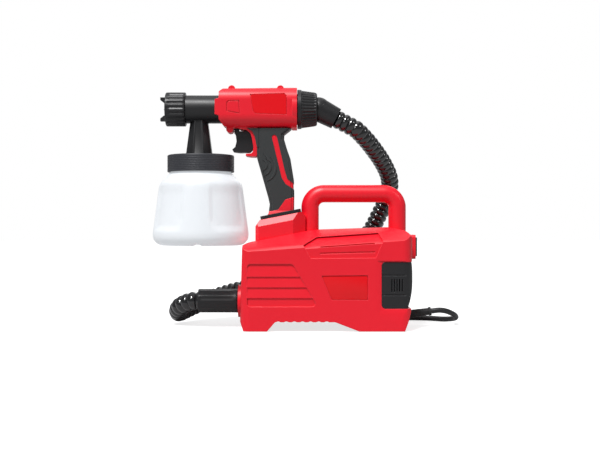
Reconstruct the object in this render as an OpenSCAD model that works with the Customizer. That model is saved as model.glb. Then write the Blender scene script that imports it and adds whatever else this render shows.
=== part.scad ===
// Turbine paint sprayer: base unit with blower, air hose, spray gun and paint cup.
// Millimetres. X runs from the nozzle (-X) to the mains lead (+X), Y is depth, Z is up.
// The base stands on Z = 0, and Y = 0 is the joint plane of the moulded half shells.

/* [Base body] */
// Length of the base body along X
body_len = 215; // [205:1:260]
// Depth of the base body along Y
body_depth = 124; // [104:1:150]
// Height of the body's top edge at the outlet end
body_top_left = 108; // [105:1:114]
// Height of the body's top edge at the filter end
body_top_right = 129; // [126:1:140]
// Height of the arched underside above the floor
underside_z = 11.5; // [9:0.5:13]
// Wall of the base shells
body_wall = 3; // [2.5:0.1:3.6]
// Depth of the recessed panels on the sides
recess_depth = 1.6; // [1:0.1:1.8]
// Radius of the upright corners of the body
body_corner_r = 13; // [8:1:18]

/* [Carry handle] */
// Diameter of the handle bar
handle_d = 22.6; // [19:0.2:27]
// Height of the bar's centre line
handle_z = 172.6; // [165:0.5:190]
// Distance between the centre lines of the two legs
handle_span = 113; // [100:1:120]
// Wall of the hollow handle
handle_wall = 2.8; // [2:0.1:4]

/* [Gun dock] */
// Tilt of the dock's top towards the outlet end, degrees
dock_tilt = 11; // [8:1:14]
// Width of the dock along X
dock_len = 64; // [54:1:66]
// Depth of the dock along Y
dock_depth = 56; // [50:1:64]
// Clearance between the gun's foot peg and the pocket
peg_clear = 0.5; // [0.3:0.1:1]
// Length of the gun's foot peg
peg_len = 34; // [26:1:36]

/* [Turbine and motor] */
// Outer diameter of the turbine casing
casing_d = 80; // [72:1:84]
// Diameter of the impellers
impeller_d = 68; // [60:1:70]
// Diameter of the motor shaft
shaft_d = 8; // [6.5:0.1:9.6]
// Bore of the stator
stator_bore = 35; // [32:0.5:37]
// Air gap between the stator and the armature
air_gap = 0.5; // [0.4:0.1:1]
// Side of the square stator
stator_side = 58; // [52:1:62]

/* [Outlet] */
// Outer diameter of the outlet sleeve
sleeve_d = 30.7; // [30:0.1:34]
// Length of the outlet sleeve
sleeve_len = 51.4; // [44:0.1:56]
// Height of the outlet's centre line
outlet_z = 33.5; // [31:0.5:36]

/* [Gun] */
// Height of the gun's barrel axis above the floor
gun_z = 282; // [278:1:290]
// Width of the gun housing
housing_w = 50; // [48:1:54]
// Outer diameter of the barrel
barrel_d = 36.4; // [34:0.1:38]
// Outer diameter of the union nut
union_d = 44; // [42:0.5:50]
// Outer diameter of the collar nut at its large end
collar_d = 51; // [49:0.5:56]
// Width of the grip over the rubber
grip_w = 34; // [30:1:38]
// Thickness of the rubber on the grip
rubber_t = 2.9; // [2:0.1:3.4]
// Width of the trigger
trigger_w = 15; // [12:0.5:16]
// Turn of the trigger from rest to fully pulled, degrees
trigger_pull = 11; // [6:0.5:11]
// Diameter of the trigger pin
trigger_pin_d = 4; // [3:0.1:5]
// Diameter of the paint needle
needle_d = 3; // [2.5:0.1:3.6]

/* [Paint cup] */
// Largest diameter of the cup
cup_d = 123.6; // [103:0.1:124]
// Diameter of the cup's neck
cup_neck_d = 78.6; // [70:0.1:82]
// Wall of the cup
cup_wall = 1.8; // [1.4:0.1:2.4]
// Outer diameter of the suction tube
suction_d = 10; // [8:0.1:10.4]

/* [Air hose] */
// Outer diameter of the ribbed hose
hose_d = 24; // [22:0.1:24]
// Distance from rib to rib
rib_pitch = 8.2; // [7.6:0.1:10]
// Bore of the hose
hose_bore = 17; // [15:0.5:18]

/* [Mains lead] */
// Diameter of the mains lead
lead_d = 7; // [6:0.1:7]
// Loops in each layer of the stored coil
coil_loops = 3; // [2:1:4]

/* [Hidden] */
$fn = 64;
fit = 0.05;          // radial clearance of a running fit
gap = 0.3;           // gap between curved faces of parts that move past each other
big = 400;           // longer than the object in any direction

// Base body
body_left = -55;
body_right = body_left + body_len;
body_half = body_depth / 2;
foot_left_x = -21;           // inner edge of the left foot
foot_right_x = body_right - 66.5;
shoulder_z = 102;            // height of the shoulder crease at the left end
shoulder_slope = 4;          // rise of the crease towards the filter end, degrees
shoulder_rise = 0.46;        // height gained by the shoulder per unit of depth
bay_x = body_right - 39;     // where the filter cover's edge lies
bay_z0 = 28;
bay_z1 = 86;
boss_x = body_right + 8;     // end face of the switch boss
boss_z = 103.8;              // centre height of the switch boss
boss_h = 31;
boss_w = 40;
bulkhead_t = 3;
bay_corner_r = 5;            // corners of the filter cover
bay_recess = 1.6;            // how far the filter cover lies inside the body's sides
bay_rim = 5.4;               // width of the bevel that leads down to it
bay_rim_low = 8.6;           // the same along its lower edge
rib_inset = body_wall * 0.8; // how far bosses and cross walls stay inside the outer face

// Carry handle
handle_left = 33;
handle_right = handle_left + handle_span;
handle_bend_r = 18;
tenon_z = 116;               // lower end of the handle's tenons

// Gun dock
dock_x = -5;
dock_z = 143.4;              // height of the dock's top face at dock_x
dock_left = dock_x - dock_len / 2;
dock_floor = 99;
dock_chamfer = 8;            // height of the chamfer round the dock's top
ring_t = 4.5;
peg_l = 30;
peg_w = 22;
pocket_depth = peg_len + 3;

// Turbine and motor, all on one axis
mount_t = 1.4;               // rubber between the casing and its saddle
motor_z = underside_z + body_wall + casing_d / 2 + mount_t + 0.1;
casing_x0 = -24;
casing_x1 = 34;
casing_t = 2.5;
stub_r = 13;
bearing_r = 8;
frame_x0 = casing_x1;
frame_x1 = 94;
shaft_end = frame_x1 + 9;
saddle_t = 3;

// Outlet
port_x = body_left - 5;
sleeve_x0 = port_x - 0.4 - sleeve_len;
stub_len = 16;

// Gun
needle_travel_r = 14;        // height of the trigger pin above the needle
pivot_x = -62;
pivot_z = gun_z + needle_travel_r;
barrel_x0 = -128;            // front of the barrel's full diameter
barrel_x1 = -72;             // rear end of the barrel, inside the housing
housing_x0 = -84;
housing_x1 = 16;
spigot_end = 28;
spigot_d = 40;
cap_x = -154.2;              // front face of the air cap's body
union_x0 = -153.7;
collar_x1 = 42;
collar_x0 = housing_x1 + 0.5;
cuff_bend_x = 44;            // where the cuff's two straight runs meet
half_pocket = trigger_w / 2 + 1;
core_half = grip_w / 2 - rubber_t;
foot_lift = ring_t + 0.02;   // height of the gun's foot over the dock's top face
arm_half = 6;                // half the span of the trigger's two arms
arm_w = 6;
arm_t = 3;
screw_r = 1.6;
gun_boss_r = 4;

// Cup
cup_x = -108.9;
neck_x = cup_x - 2;
cup_z0 = 105.5;
lid_z0 = 199.5;
lid_z1 = 220.5;
lid_plate = 3.5;
cup_rim_z = lid_z1 - lid_plate - 2.6;
thread_h = 1;
lid_skirt_t = 2.6;
suction_r = suction_d / 2;

// Routes of the hose and of the mains lead between their straight ends
cuff_end = [67, 0, gun_z - 12];
hose_dirs = [cuff_end - [cuff_bend_x, 0, gun_z], [1, 0, 0]];
hose_start = cuff_end + 0.1 * unit(hose_dirs[0]);
hose_route = [
    hose_start + hose_d * unit(hose_dirs[0]), [104, 10, 246.5], [118, 26, 232], [131, 44, 216],
    [141, 61, 198], [143, 76, 181], [138, 87, 163], [130, 92, 146], [119, 94, 125], [102, 94, 104],
    [76, 91, 84], [42, 86, 67], [4, 82, 56], [-35, 80, 48], [-70, 78, 41], [-102, 73, 31],
    [-128, 58, 20], [-142, 36, 15], [-136, 12, 26], [-114, 0, outlet_z]
];
relief_x0 = body_right - 5;   // where the strain relief leaves the body
lead_start = [relief_x0 + 35, 0, 20];
lead_route = [
    lead_start + [7.1, 0, 1], [211, 5, 19.5], [224, 20, 13], [228, 42, 7], [217, 62, 3.8],
    [198, 76, 3.6], [172, 82, 3.6], [130, 83, 3.6], [90, 82.6, 3.6], [59, 82.6, 3.6]
];
lead_z = 15.5;
lead_dirs = [lead_start - [relief_x0 + 2, 0, lead_z], [-1, 0, 0]];
coil_c = [45, 136];
coil_r = 42;                 // radius at the middle of the coil's turns
coil_step = 7.6;             // distance between neighbouring turns
coil_rings = 24;

// ---------------------------------------------------------------- helpers

// Round bar along X.
module rod_x(x0, x1, r, z = 0, y = 0) {
    translate([x0, y, z]) rotate([0, 90, 0]) cylinder(h = x1 - x0, r = r);
}

// Cone along X.
module cone_x(x0, x1, r0, r1, z = 0) {
    translate([x0, 0, z]) rotate([0, 90, 0]) cylinder(h = x1 - x0, r1 = r0, r2 = r1);
}

// Tube along X.
module tube_x(x0, x1, ro, ri, z = 0) {
    difference() {
        rod_x(x0, x1, ro, z);
        rod_x(x0 - 1, x1 + 1, ri, z);
    }
}

// Round bar along Y.
module rod_y(x, z, y0, y1, r) {
    translate([x, y1, z]) rotate([90, 0, 0]) cylinder(h = y1 - y0, r = r);
}

// Plate with an outline in the XZ plane, from y0 to y1.
module plate_y(y0, y1) {
    translate([0, y1, 0]) rotate([90, 0, 0]) linear_extrude(y1 - y0) children();
}

// Block between two corners.
module block(a, b) {
    translate(a) cube([b.x - a.x, b.y - a.y, b.z - a.z]);
}

// The half of the children on one side of the joint plane, side = -1 or 1.
module half(side) {
    intersection() {
        children();
        block([-big, side < 0 ? -big : 0, -big], [big, side < 0 ? 0 : big, big]);
    }
}

// Rounded rectangle between two corners, with true arcs.
module round_rect(x0, x1, y0, y1, r) {
    translate([x0 + r, y0]) square([x1 - x0 - 2 * r, y1 - y0]);
    translate([x0, y0 + r]) square([x1 - x0, y1 - y0 - 2 * r]);
    for (x = [x0 + r, x1 - r], y = [y0 + r, y1 - r]) translate([x, y]) circle(r);
}

// Points of an arc from angle a0 to a1 in n steps.
function arc(cx, cz, r, a0, a1, n) =
    [for (i = [0:n]) [cx + r * cos(a0 + (a1 - a0) * i / n), cz + r * sin(a0 + (a1 - a0) * i / n)]];

// Self-tapping screw along Y, its head's outer face at y_head.
module screw_y(x, z, y_head, y_tip, r) {
    difference() {
        union() {
            rod_y(x, z, y_head - 2.5, y_head, r * 2);
            rod_y(x, z, y_tip, y_head - 2.5, r);
        }
        block([x - r * 1.4, y_head - 1.2, z - 0.4], [x + r * 1.4, y_head + 1, z + 0.4]);
        block([x - 0.4, y_head - 1.2, z - r * 1.4], [x + 0.4, y_head + 1, z + r * 1.4]);
    }
}

// Tilts the children about the dock's centre, as the gun's foot is tilted.
module on_dock(z) {
    translate([dock_x, 0, z]) rotate([0, -dock_tilt, 0]) children();
}

// ---------------------------------------------------------------- swept tubes

function unit(v) = v / norm(v);

// Point between points i and i + 1 of a smooth curve that leaves and ends along the directions.
function route_point(p, dirs, i, t) =
    let (
        n = len(p) - 1,
        a = i > 0 ? p[i - 1] : p[1] - 2 * norm(p[1] - p[0]) * unit(dirs[0]),
        b = p[i],
        c = p[i + 1],
        d = i + 2 <= n ? p[i + 2] : p[n - 1] + 2 * norm(p[n] - p[n - 1]) * unit(dirs[1])
    )
    0.5 * (2 * b + (c - a) * t + (2 * a - 5 * b + 4 * c - d) * t * t
        + (3 * b - 3 * c + d - a) * t * t * t);

// The route with a straight run at each end, cut into steps of about the given length.
function route_curve(p, dirs, run, step) =
    let (m = round(run / step), last = len(p) - 1)
    concat(
        [for (k = [0:m - 1]) p[0] - (m - k) / m * run * unit(dirs[0])],
        [for (i = [0:last - 1])
            let (n = max(1, round(norm(p[i + 1] - p[i]) / step)))
            for (k = [0:n - 1]) route_point(p, dirs, i, k / n)],
        [for (k = [0:m]) p[last] + k / m * run * unit(dirs[1])]
    );

function tangent(c, i) = unit(c[min(i + 1, len(c) - 1)] - c[max(i - 1, 0)]);

// A direction across the curve at each point, carried along it without a twist.
function carried(c) = [
    for (i = 0, u = unit(cross(tangent(c, 0), [0.13, 1, 0.07])); i < len(c);
        i = i + 1,
        u = i < len(c) ? unit(u - (u * tangent(c, i)) * tangent(c, i)) : u) u
];

function ring_at(c, u, i, r, sides) =
    let (v = cross(tangent(c, i), u[i]))
    [for (k = [0:sides - 1]) c[i] + r * (cos(360 * k / sides) * u[i] + sin(360 * k / sides) * v)];

function band(a, b, sides) = [
    for (k = [0:sides - 1])
        let (m = (k + 1) % sides)
        each [[a + k, a + m, b + m], [a + k, b + m, b + k]]
];

// Solid tube along the curve c, with one radius for each point.
module sweep(c, radii, sides) {
    u = carried(c);
    n = len(c);
    points = [for (i = [0:n - 1]) each ring_at(c, u, i, radii[i], sides)];
    sides_faces = [for (i = [0:n - 2]) each band(i * sides, (i + 1) * sides, sides)];
    first_cap = [for (k = [1:sides - 2]) [0, k + 1, k]];
    last = (n - 1) * sides;
    last_cap = [for (k = [1:sides - 2]) [last, last + k, last + k + 1]];
    polyhedron(points, concat([for (f = sides_faces) [f[0], f[2], f[1]]],
        [for (f = first_cap) [f[0], f[2], f[1]]], [for (f = last_cap) [f[0], f[2], f[1]]]));
}

// Hollow tube along the curve c, with one outer radius for each point and a plain bore.
module sweep_hollow(c, radii, bore_r, sides, bore_every) {
    u = carried(c);
    n = len(c);
    kept = [for (i = [0:n - 1]) if (i % bore_every == 0 || i == n - 1) i];
    m = len(kept);
    outer = [for (i = [0:n - 1]) each ring_at(c, u, i, radii[i], sides)];
    inner = [for (i = kept) each ring_at(c, u, i, bore_r, sides)];
    inner0 = n * sides;
    points = concat(outer, inner);
    out_faces = [for (i = [0:n - 2]) each band(i * sides, (i + 1) * sides, sides)];
    in_faces = [for (i = [0:m - 2]) each band(inner0 + i * sides, inner0 + (i + 1) * sides, sides)];
    start = band(0, inner0, sides);
    end = band((n - 1) * sides, inner0 + (m - 1) * sides, sides);
    polyhedron(points, concat([for (f = out_faces) [f[0], f[2], f[1]]], in_faces,
        start, [for (f = end) [f[0], f[2], f[1]]]));
}

// Length of a curve given as points.
function curve_len(c, i = 0, sum = 0) =
    i >= len(c) - 1 ? sum : curve_len(c, i + 1, sum + norm(c[i + 1] - c[i]));

// Least gap of a tube of diameter d to itself, over points more than `skip` apart along it.
function self_gap(c, d, skip) = min([
    for (i = [0:len(c) - 1]) for (j = [i + skip:1:len(c) - 1]) norm(c[i] - c[j])
]) - d;

// ---------------------------------------------------------------- base body form

// Outline of the body from the side, d inside its outer face.
function side_outline(d) = let (
    l = body_left + d,
    r = body_right - d,
    top = body_top_right - d
) concat(
    [[l, 12], [l + 4.5, d], [foot_left_x - 0.4 * d, d], [foot_left_x + 10 - 0.4 * d, underside_z + d],
        [foot_right_x - 30 + 0.4 * d, underside_z + d], [foot_right_x + 0.4 * d, d],
        [r - 10, d], [r - 5, 13], [r - 2, 24]],
    arc(r - 14, top - 17, 14, 0, 75, 5),
    [[body_right - 27, top], [42, top - 3], [27, top - 5], [l + 8, body_top_left - d + 1.2],
        [l + 3, body_top_left - d - 1.5]]
);

// Outline of the body from the end, d inside its outer face.
function end_outline(d) = let (h = body_half - d, z = shoulder_z - 1.1 * d) [
    [-h, -60], [h, -60], [h, z - 4], [h - 3.4, z], [0, z + shoulder_rise * (body_half - 4)],
    [-h + 3.4, z], [-h, z - 4]
];

// The body's solid form, d inside its outer face.
module body_form(d) {
    intersection() {
        plate_y(-big / 2, big / 2) polygon(side_outline(d));
        translate([0, 0, -60]) linear_extrude(big)
            round_rect(body_left + d, body_right - d, -body_half + d, body_half - d, body_corner_r - d);
        translate([body_left, 0, 0]) rotate([0, -shoulder_slope, 0]) rotate([90, 0, 90])
            translate([0, 0, -60]) linear_extrude(big) polygon(end_outline(d));
    }
}

// Outline of the slatted panel near the outlet, grown by d.
function slat_outline(d) = let (r = 4 + d) concat(
    arc(-41.7, 34.5, r, 180, 270, 3), arc(35, 34.5, r, 270, 390, 4),
    arc(8.5, 79.7, r, 35, 90, 2), arc(-41.7, 79.7, r, 90, 180, 3)
);
// Outline of the sunk field high on the side.
upper_outline = [
    [24, 106.8], [41, 116.6], [body_right - 42, 122], [body_right - 37, 112],
    [body_right - 46, 91], [33, 90.4]
];
// Outline of the bare label field.
label_outline = [
    [46.6, 69], [body_right - 56, 69.6], [body_right - 56, 39.1], [59, 39.1]
];

// Panels cut right through in Y; the body's inner skin closes them at recess_depth.
module panel_cuts() {
    plate_y(-big / 2, big / 2) union() {
        polygon(slat_outline(0));
        polygon(upper_outline);
        polygon(label_outline);
    }
}

// Three slats that stand in the panel near the outlet, sloping out towards their lower edge.
module slats() {
    slat_h = 13.2;
    ridge = slat_h - 1.6;
    root = body_half - recess_depth - 1;
    for (side = [-1, 1], i = [0:2]) {
        z = 79.5 - slat_h * i;
        intersection() {
            rotate([90, 0, 90]) translate([0, 0, -50]) linear_extrude(110) polygon([
                [side * root, z + ridge / (recess_depth - 0.2)], [side * (body_half - 0.2), z - ridge],
                [side * root, z - ridge - 1.7]
            ]);
            plate_y(-big / 2, big / 2) polygon(slat_outline(0.5));
        }
    }
}

// The body's outer skin with its sunk panels and the grooves above the label field.
module body_skin() {
    union() {
        difference() {
            body_form(0);
            panel_cuts();
        }
        body_form(recess_depth);
        slats();
    }
}

// Room that the filter cover takes from the body's end.
module filter_bay(d) {
    plate_y(-big / 2, big / 2) round_rect(bay_x - d, big, bay_z0 - d, bay_z1 + d, bay_corner_r + d);
}

// Bevel in the body's sides that leads down to the filter cover.
module bay_bevel() {
    t = bay_recess;
    for (side = [-1, 1]) intersection() {
        linear_extrude(big) polygon([
            [bay_x - 2 * bay_rim, side * (body_half + t)], [bay_x, side * (body_half - t)],
            [big, side * (body_half - t)], [big, side * (body_half + t)]
        ]);
        rotate([90, 0, 90]) linear_extrude(big) polygon([
            [side * (body_half + t), bay_z0 - 2 * bay_rim_low], [side * (body_half - t), bay_z0],
            [side * (body_half - t), bay_z1], [side * (body_half + t), bay_z1 + 2 * t]
        ]);
    }
}

// Inside of the base shells.
module body_cavity() {
    difference() {
        body_form(body_wall);
        filter_bay(bulkhead_t);
    }
}

// Screw places of the base shells, as [x, z].
base_screw_places = [
    [-42, 90], [-34, 13], [foot_right_x - 9, 17], [78, 116], [bay_x - 9, 113]
];
base_screw_r = 2;
base_boss_r = 4.8;
base_head_y = 30;

module base_bosses() {
    intersection() {
        body_form(rib_inset);
        for (p = base_screw_places) rod_y(p.x, p.y, -body_half, body_half, base_boss_r);
    }
}

module base_screw_holes() {
    for (p = base_screw_places) {
        rod_y(p.x, p.y, -24, base_head_y, base_screw_r + 0.02);
        rod_y(p.x, p.y, base_head_y, body_half + 5, base_screw_r * 2 + 0.4);
    }
}

// Cross walls that carry the turbine and the rear of the motor.
module saddles() {
    intersection() {
        body_form(rib_inset);
        difference() {
            union() {
                block([-12, -big, 0], [-12 + saddle_t, big, 98]);
                block([100, -big, 0], [100 + saddle_t, big, 98]);
            }
            rod_x(-20, 0, casing_d / 2 + mount_t, motor_z);
            rod_x(99, 104, bearing_r + 3 + mount_t, motor_z);
        }
    }
}

// Boss on the body's end that holds the power switch.
module switch_boss() {
    difference() {
        translate([body_right - 8, 0, 0]) rotate([90, 0, 90]) linear_extrude(16)
            round_rect(-boss_w / 2, boss_w / 2, boss_z - boss_h / 2, boss_z + boss_h / 2, 4);
        translate([body_right - 20, 0, 0]) rotate([90, 0, 90]) linear_extrude(25)
            round_rect(-boss_w / 2 + 3, boss_w / 2 - 3, boss_z - 11.5, boss_z + boss_h / 2 - 3, 2);
    }
}

// Whole base body before it is split into its two shells.
module base_body() {
    difference() {
        union() {
            difference() {
                union() {
                    body_skin();
                    switch_boss();
                }
                body_cavity();
                translate([body_right - 20, 0, 0]) rotate([90, 0, 90]) linear_extrude(30)
                    round_rect(-boss_w / 2 + 3, boss_w / 2 - 3, boss_z - 11.5,
                        boss_z + boss_h / 2 - 3, 2);
            }
            base_bosses();
            saddles();
        }
        filter_bay(0);
        bay_bevel();
        rod_x(bay_x - 10, bay_x + 1, 26, 57);
        base_screw_holes();
        dock_form(0.05);
        for (x = [handle_left, handle_right]) translate([x, 0, tenon_z]) cylinder(h = 60, d = handle_d + 0.1);
        rod_x(body_left - 1, body_left + 20, 15.05, outlet_z);
        rod_x(body_right - 12, body_right + 1, 6.3, lead_z);
        for (i = [0:6]) rod_y(-7 + 10 * i, underside_z - 3.4, -big, big, 4.4);
        upper_groove(96.6, body_half - recess_depth, 1.5);
        upper_groove(shoulder_z + 2.1, body_half - recess_depth - 1.4, shoulder_slope);
    }
}

// One long groove in the sunk field high on the side, rising by an angle towards the filter end.
module upper_groove(z, y, angle) {
    for (side = [-1, 1]) translate([45, side * y, z]) rotate([0, 90 - angle, 0])
        cylinder(h = body_len - 147, r = 1.1);
}

module base_left_shell() {
    color([0.86, 0.06, 0.12]) half(-1) base_body();
}

module base_right_shell() {
    color([0.86, 0.06, 0.12]) half(1) base_body();
}

module base_screws() {
    color([0.6, 0.6, 0.62])
        for (p = base_screw_places) screw_y(p.x, p.y, base_head_y + 2.5, -20, base_screw_r);
}

// ---------------------------------------------------------------- carry handle

// Handle's form with bar radius r, its tenons reaching down to z0.
module handle_form(r, z0) {
    leg_h = handle_z - handle_bend_r - z0;
    for (x = [handle_left, handle_right]) translate([x, 0, z0]) cylinder(h = leg_h, r = r);
    rod_x(handle_left + handle_bend_r, handle_right - handle_bend_r, r, handle_z);
    translate([handle_left + handle_bend_r, 0, handle_z - handle_bend_r]) rotate([90, 0, 0])
        rotate([0, 0, 90]) rotate_extrude(angle = 90) translate([handle_bend_r, 0]) circle(r);
    translate([handle_right - handle_bend_r, 0, handle_z - handle_bend_r]) rotate([90, 0, 0])
        rotate_extrude(angle = 90) translate([handle_bend_r, 0]) circle(r);
}

module carry_handle() {
    color([0.86, 0.06, 0.12]) difference() {
        handle_form(handle_d / 2, tenon_z);
        handle_form(handle_d / 2 - handle_wall, tenon_z + 4);
    }
}

// ---------------------------------------------------------------- gun dock

// Block of the dock, its top cut at the dock's tilt, grown by d.
module dock_form(d) {
    left = dock_left - d;
    right = dock_left + dock_len + d;
    half_d = dock_depth / 2 + d;
    rise = tan(dock_tilt);
    intersection() {
        plate_y(-half_d, half_d) polygon([
            [left, dock_floor - d], [right, dock_floor - d],
            [right, dock_z + rise * dock_len / 2 - 6 + d],
            [right - 5, dock_z + rise * (dock_len / 2 - 5) + d],
            [left + 5.5, dock_z - rise * (dock_len / 2 - 5.5) + d],
            [left, dock_z - rise * dock_len / 2 - 7 + d]
        ]);
        translate([0, 0, dock_floor - 5]) linear_extrude(100) polygon([
            [left, -half_d + 5], [left + 4, -half_d], [right - 16, -half_d], [right, -half_d + 14],
            [right, half_d - 14], [right - 16, half_d], [left + 4, half_d], [left, half_d - 5]
        ]);
        on_dock(dock_z + d) rotate([90, 0, 90]) translate([0, 0, -60]) linear_extrude(120) polygon([
            [-half_d, -90], [half_d, -90], [half_d, -dock_chamfer], [half_d - 5.5, 0],
            [-half_d + 5.5, 0], [-half_d, -dock_chamfer]
        ]);
    }
}

module dock() {
    color([0.86, 0.06, 0.12]) difference() {
        dock_form(0);
        translate([handle_left, 0, tenon_z - 1]) cylinder(h = 60, r = handle_d / 2 + 0.1);
        on_dock(dock_z) block([-peg_l / 2 - peg_clear, -peg_w / 2 - peg_clear, -pocket_depth],
            [peg_l / 2 + peg_clear, peg_w / 2 + peg_clear, 20]);
    }
}

module dock_ring() {
    color([0.14, 0.14, 0.15]) on_dock(dock_z) difference() {
        linear_extrude(ring_t) round_rect(-26, 27, -21, 21, 9);
        translate([0, 0, -1]) linear_extrude(ring_t + 2)
            square([peg_l + 2 * peg_clear, peg_w + 2 * peg_clear], center = true);
    }
}

// ---------------------------------------------------------------- outlet

module outlet_port() {
    color([0.86, 0.06, 0.12]) difference() {
        union() {
            rod_x(port_x, body_left, 21, outlet_z);
            rod_x(body_left, body_left + 11, 15, outlet_z);
            rod_x(port_x - stub_len, port_x, 12.5, outlet_z);
        }
        rod_x(port_x - stub_len - 1, body_left + 12, 10, outlet_z);
    }
}

module outlet_sleeve() {
    flutes = 12;
    color([0.16, 0.16, 0.17]) difference() {
        rod_x(sleeve_x0, port_x - 0.4, sleeve_d / 2, outlet_z);
        rod_x(sleeve_x0 + 31, port_x, 12.5 + gap, outlet_z);
        rod_x(sleeve_x0 + 20, sleeve_x0 + 32, 10.5, outlet_z);
        rod_x(sleeve_x0 - 1, sleeve_x0 + 22, hose_d / 2 + 0.4, outlet_z);
        cone_x(sleeve_x0 - 0.1, sleeve_x0 + 5, 14, hose_d / 2 + 0.3, outlet_z);
        for (i = [0:flutes - 1]) translate([0, 0, outlet_z]) rotate([360 * i / flutes, 0, 0])
            rod_x(sleeve_x0 + 3, port_x - 6, 1.6, sleeve_d / 2 + 0.7);
    }
}

// ---------------------------------------------------------------- turbine

module turbine_casing() {
    color([0.75, 0.76, 0.78]) difference() {
        rod_x(casing_x0, casing_x1, casing_d / 2, motor_z);
        rod_x(casing_x0 - 1, casing_x1 - casing_t, casing_d / 2 - casing_t, motor_z);
        rod_x(casing_x1 - 5, casing_x1 + 1, 21.5, motor_z);
    }
}

module turbine_cover() {
    color([0.75, 0.76, 0.78]) difference() {
        union() {
            rod_x(casing_x0 - 3, casing_x0, casing_d / 2, motor_z);
            rod_x(body_left + 11, casing_x0 - 3, stub_r, outlet_z);
        }
        rod_x(body_left + 10, casing_x0 + 1, stub_r - 2, outlet_z);
    }
}

module diffuser() {
    vanes = 9;
    color([0.3, 0.3, 0.32]) difference() {
        union() {
            rod_x(-4, -2, casing_d / 2 - casing_t - 0.1, motor_z);
            for (i = [0:vanes - 1]) translate([0, 0, motor_z]) rotate([360 * i / vanes, 0, 0])
                block([-3, 11, -1], [2, casing_d / 2 - casing_t - 0.4, 1]);
        }
        rod_x(-6, 4, 9, motor_z);
    }
}

// One impeller: a disc, a hub and straight vanes.
module impeller(x) {
    vanes = 8;
    difference() {
        union() {
            rod_x(x, x + 1.6, impeller_d / 2, motor_z);
            rod_x(x, x + 9, 7.5, motor_z);
            for (i = [0:vanes - 1]) translate([0, 0, motor_z]) rotate([360 * i / vanes, 0, 0])
                block([x + 1, 6, -0.7], [x + 8, impeller_d / 2 - 0.5, 0.7]);
        }
        rod_x(x - 1, x + 10, shaft_d / 2, motor_z);
    }
}

module impellers() {
    color([0.8, 0.8, 0.82]) {
        impeller(-19);
        impeller(9);
    }
}

// ---------------------------------------------------------------- motor

module motor_shaft() {
    color([0.7, 0.7, 0.72]) rod_x(-21, shaft_end, shaft_d / 2, motor_z);
}

module armature() {
    slots = 12;
    arm_r = stator_bore / 2 - air_gap;
    color([0.45, 0.43, 0.42]) difference() {
        union() {
            rod_x(50, 78, arm_r, motor_z);
            rod_x(45, 83, arm_r - 3.5, motor_z);
        }
        rod_x(44, 84, shaft_d / 2, motor_z);
        for (i = [0:slots - 1]) translate([0, 0, motor_z]) rotate([360 * i / slots, 0, 0])
            block([49, arm_r - 1.5, -0.8], [79, arm_r + 1, 0.8]);
    }
}

module commutator() {
    color([0.72, 0.45, 0.25]) tube_x(84, 93, 10.5, shaft_d / 2, motor_z);
}

module stator() {
    color([0.5, 0.5, 0.52]) difference() {
        translate([50, 0, motor_z]) rotate([90, 0, 90]) linear_extrude(28)
            round_rect(-stator_side / 2, stator_side / 2, -stator_side / 2, stator_side / 2, 6);
        rod_x(49, 79, stator_bore / 2, motor_z);
        for (side = [-1, 1])
            block([49, -9, motor_z + side * (stator_bore / 2 + 3.5) - 3],
                [79, 9, motor_z + side * (stator_bore / 2 + 3.5) + 3]);
    }
}

module field_windings() {
    color([0.7, 0.38, 0.2]) for (side = [-1, 1])
        block([45, -8.8, motor_z + side * (stator_bore / 2 + 3.5) - 2.8],
            [83, 8.8, motor_z + side * (stator_bore / 2 + 3.5) + 2.8]);
}

module motor_frame() {
    post_r = 2.5;
    post_at = stator_side / 2 - 4;
    color([0.62, 0.63, 0.65]) difference() {
        union() {
            rod_x(frame_x0, frame_x0 + 3, 36, motor_z);
            rod_x(frame_x0, frame_x0 + 7, bearing_r + 3, motor_z);
            translate([frame_x1, 0, motor_z]) rotate([90, 0, 90]) linear_extrude(3)
                round_rect(-stator_side / 2, stator_side / 2, -stator_side / 2, stator_side / 2, 6);
            rod_x(frame_x1, frame_x1 + 11, bearing_r + 3, motor_z);
            for (y = [-1, 1], z = [-1, 1])
                rod_x(frame_x0, frame_x1 + 3, post_r, motor_z + z * post_at, y * post_at);
        }
        rod_x(frame_x0 - 1, frame_x0 + 8, bearing_r, motor_z);
        rod_x(frame_x1 - 1, frame_x1 + 10, bearing_r, motor_z);
        for (i = [0:5]) translate([0, 0, motor_z]) rotate([60 * i, 0, 0])
            rod_x(frame_x0 - 1, frame_x0 + 4, 4.5, 17);
        block([49.95, -stator_side / 2 - 0.05, motor_z - stator_side / 2 - 0.05],
            [78.05, stator_side / 2 + 0.05, motor_z + stator_side / 2 + 0.05]);
    }
}

module motor_bearings() {
    color([0.66, 0.67, 0.7]) for (x = [frame_x0 + 1, frame_x1 + 2])
        tube_x(x, x + 5.5, bearing_r, shaft_d / 2 + fit, motor_z);
}

module brush_holders() {
    color([0.55, 0.42, 0.2]) for (side = [-1, 1]) difference() {
        block([84.5, side > 0 ? 11.4 : -27, motor_z - 5], [frame_x1, side > 0 ? 27 : -11.4, motor_z + 5]);
        block([85.95, side > 0 ? 10 : -25, motor_z - 3.05], [92.05, side > 0 ? 25 : -10, motor_z + 3.05]);
    }
}

module carbon_brushes() {
    color([0.2, 0.2, 0.2]) for (side = [-1, 1]) difference() {
        block([86, side > 0 ? 9 : -24, motor_z - 3], [92, side > 0 ? 24 : -9, motor_z + 3]);
        rod_x(85, 93, 10.5 + fit, motor_z);
    }
}

module motor_mounts() {
    color([0.1, 0.1, 0.1]) {
        tube_x(-14, -14 + saddle_t + 4, casing_d / 2 + mount_t - 0.1, casing_d / 2, motor_z);
        tube_x(99, 104, bearing_r + 3 + mount_t - 0.1, bearing_r + 3, motor_z);
    }
}

// ---------------------------------------------------------------- filter

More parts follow.
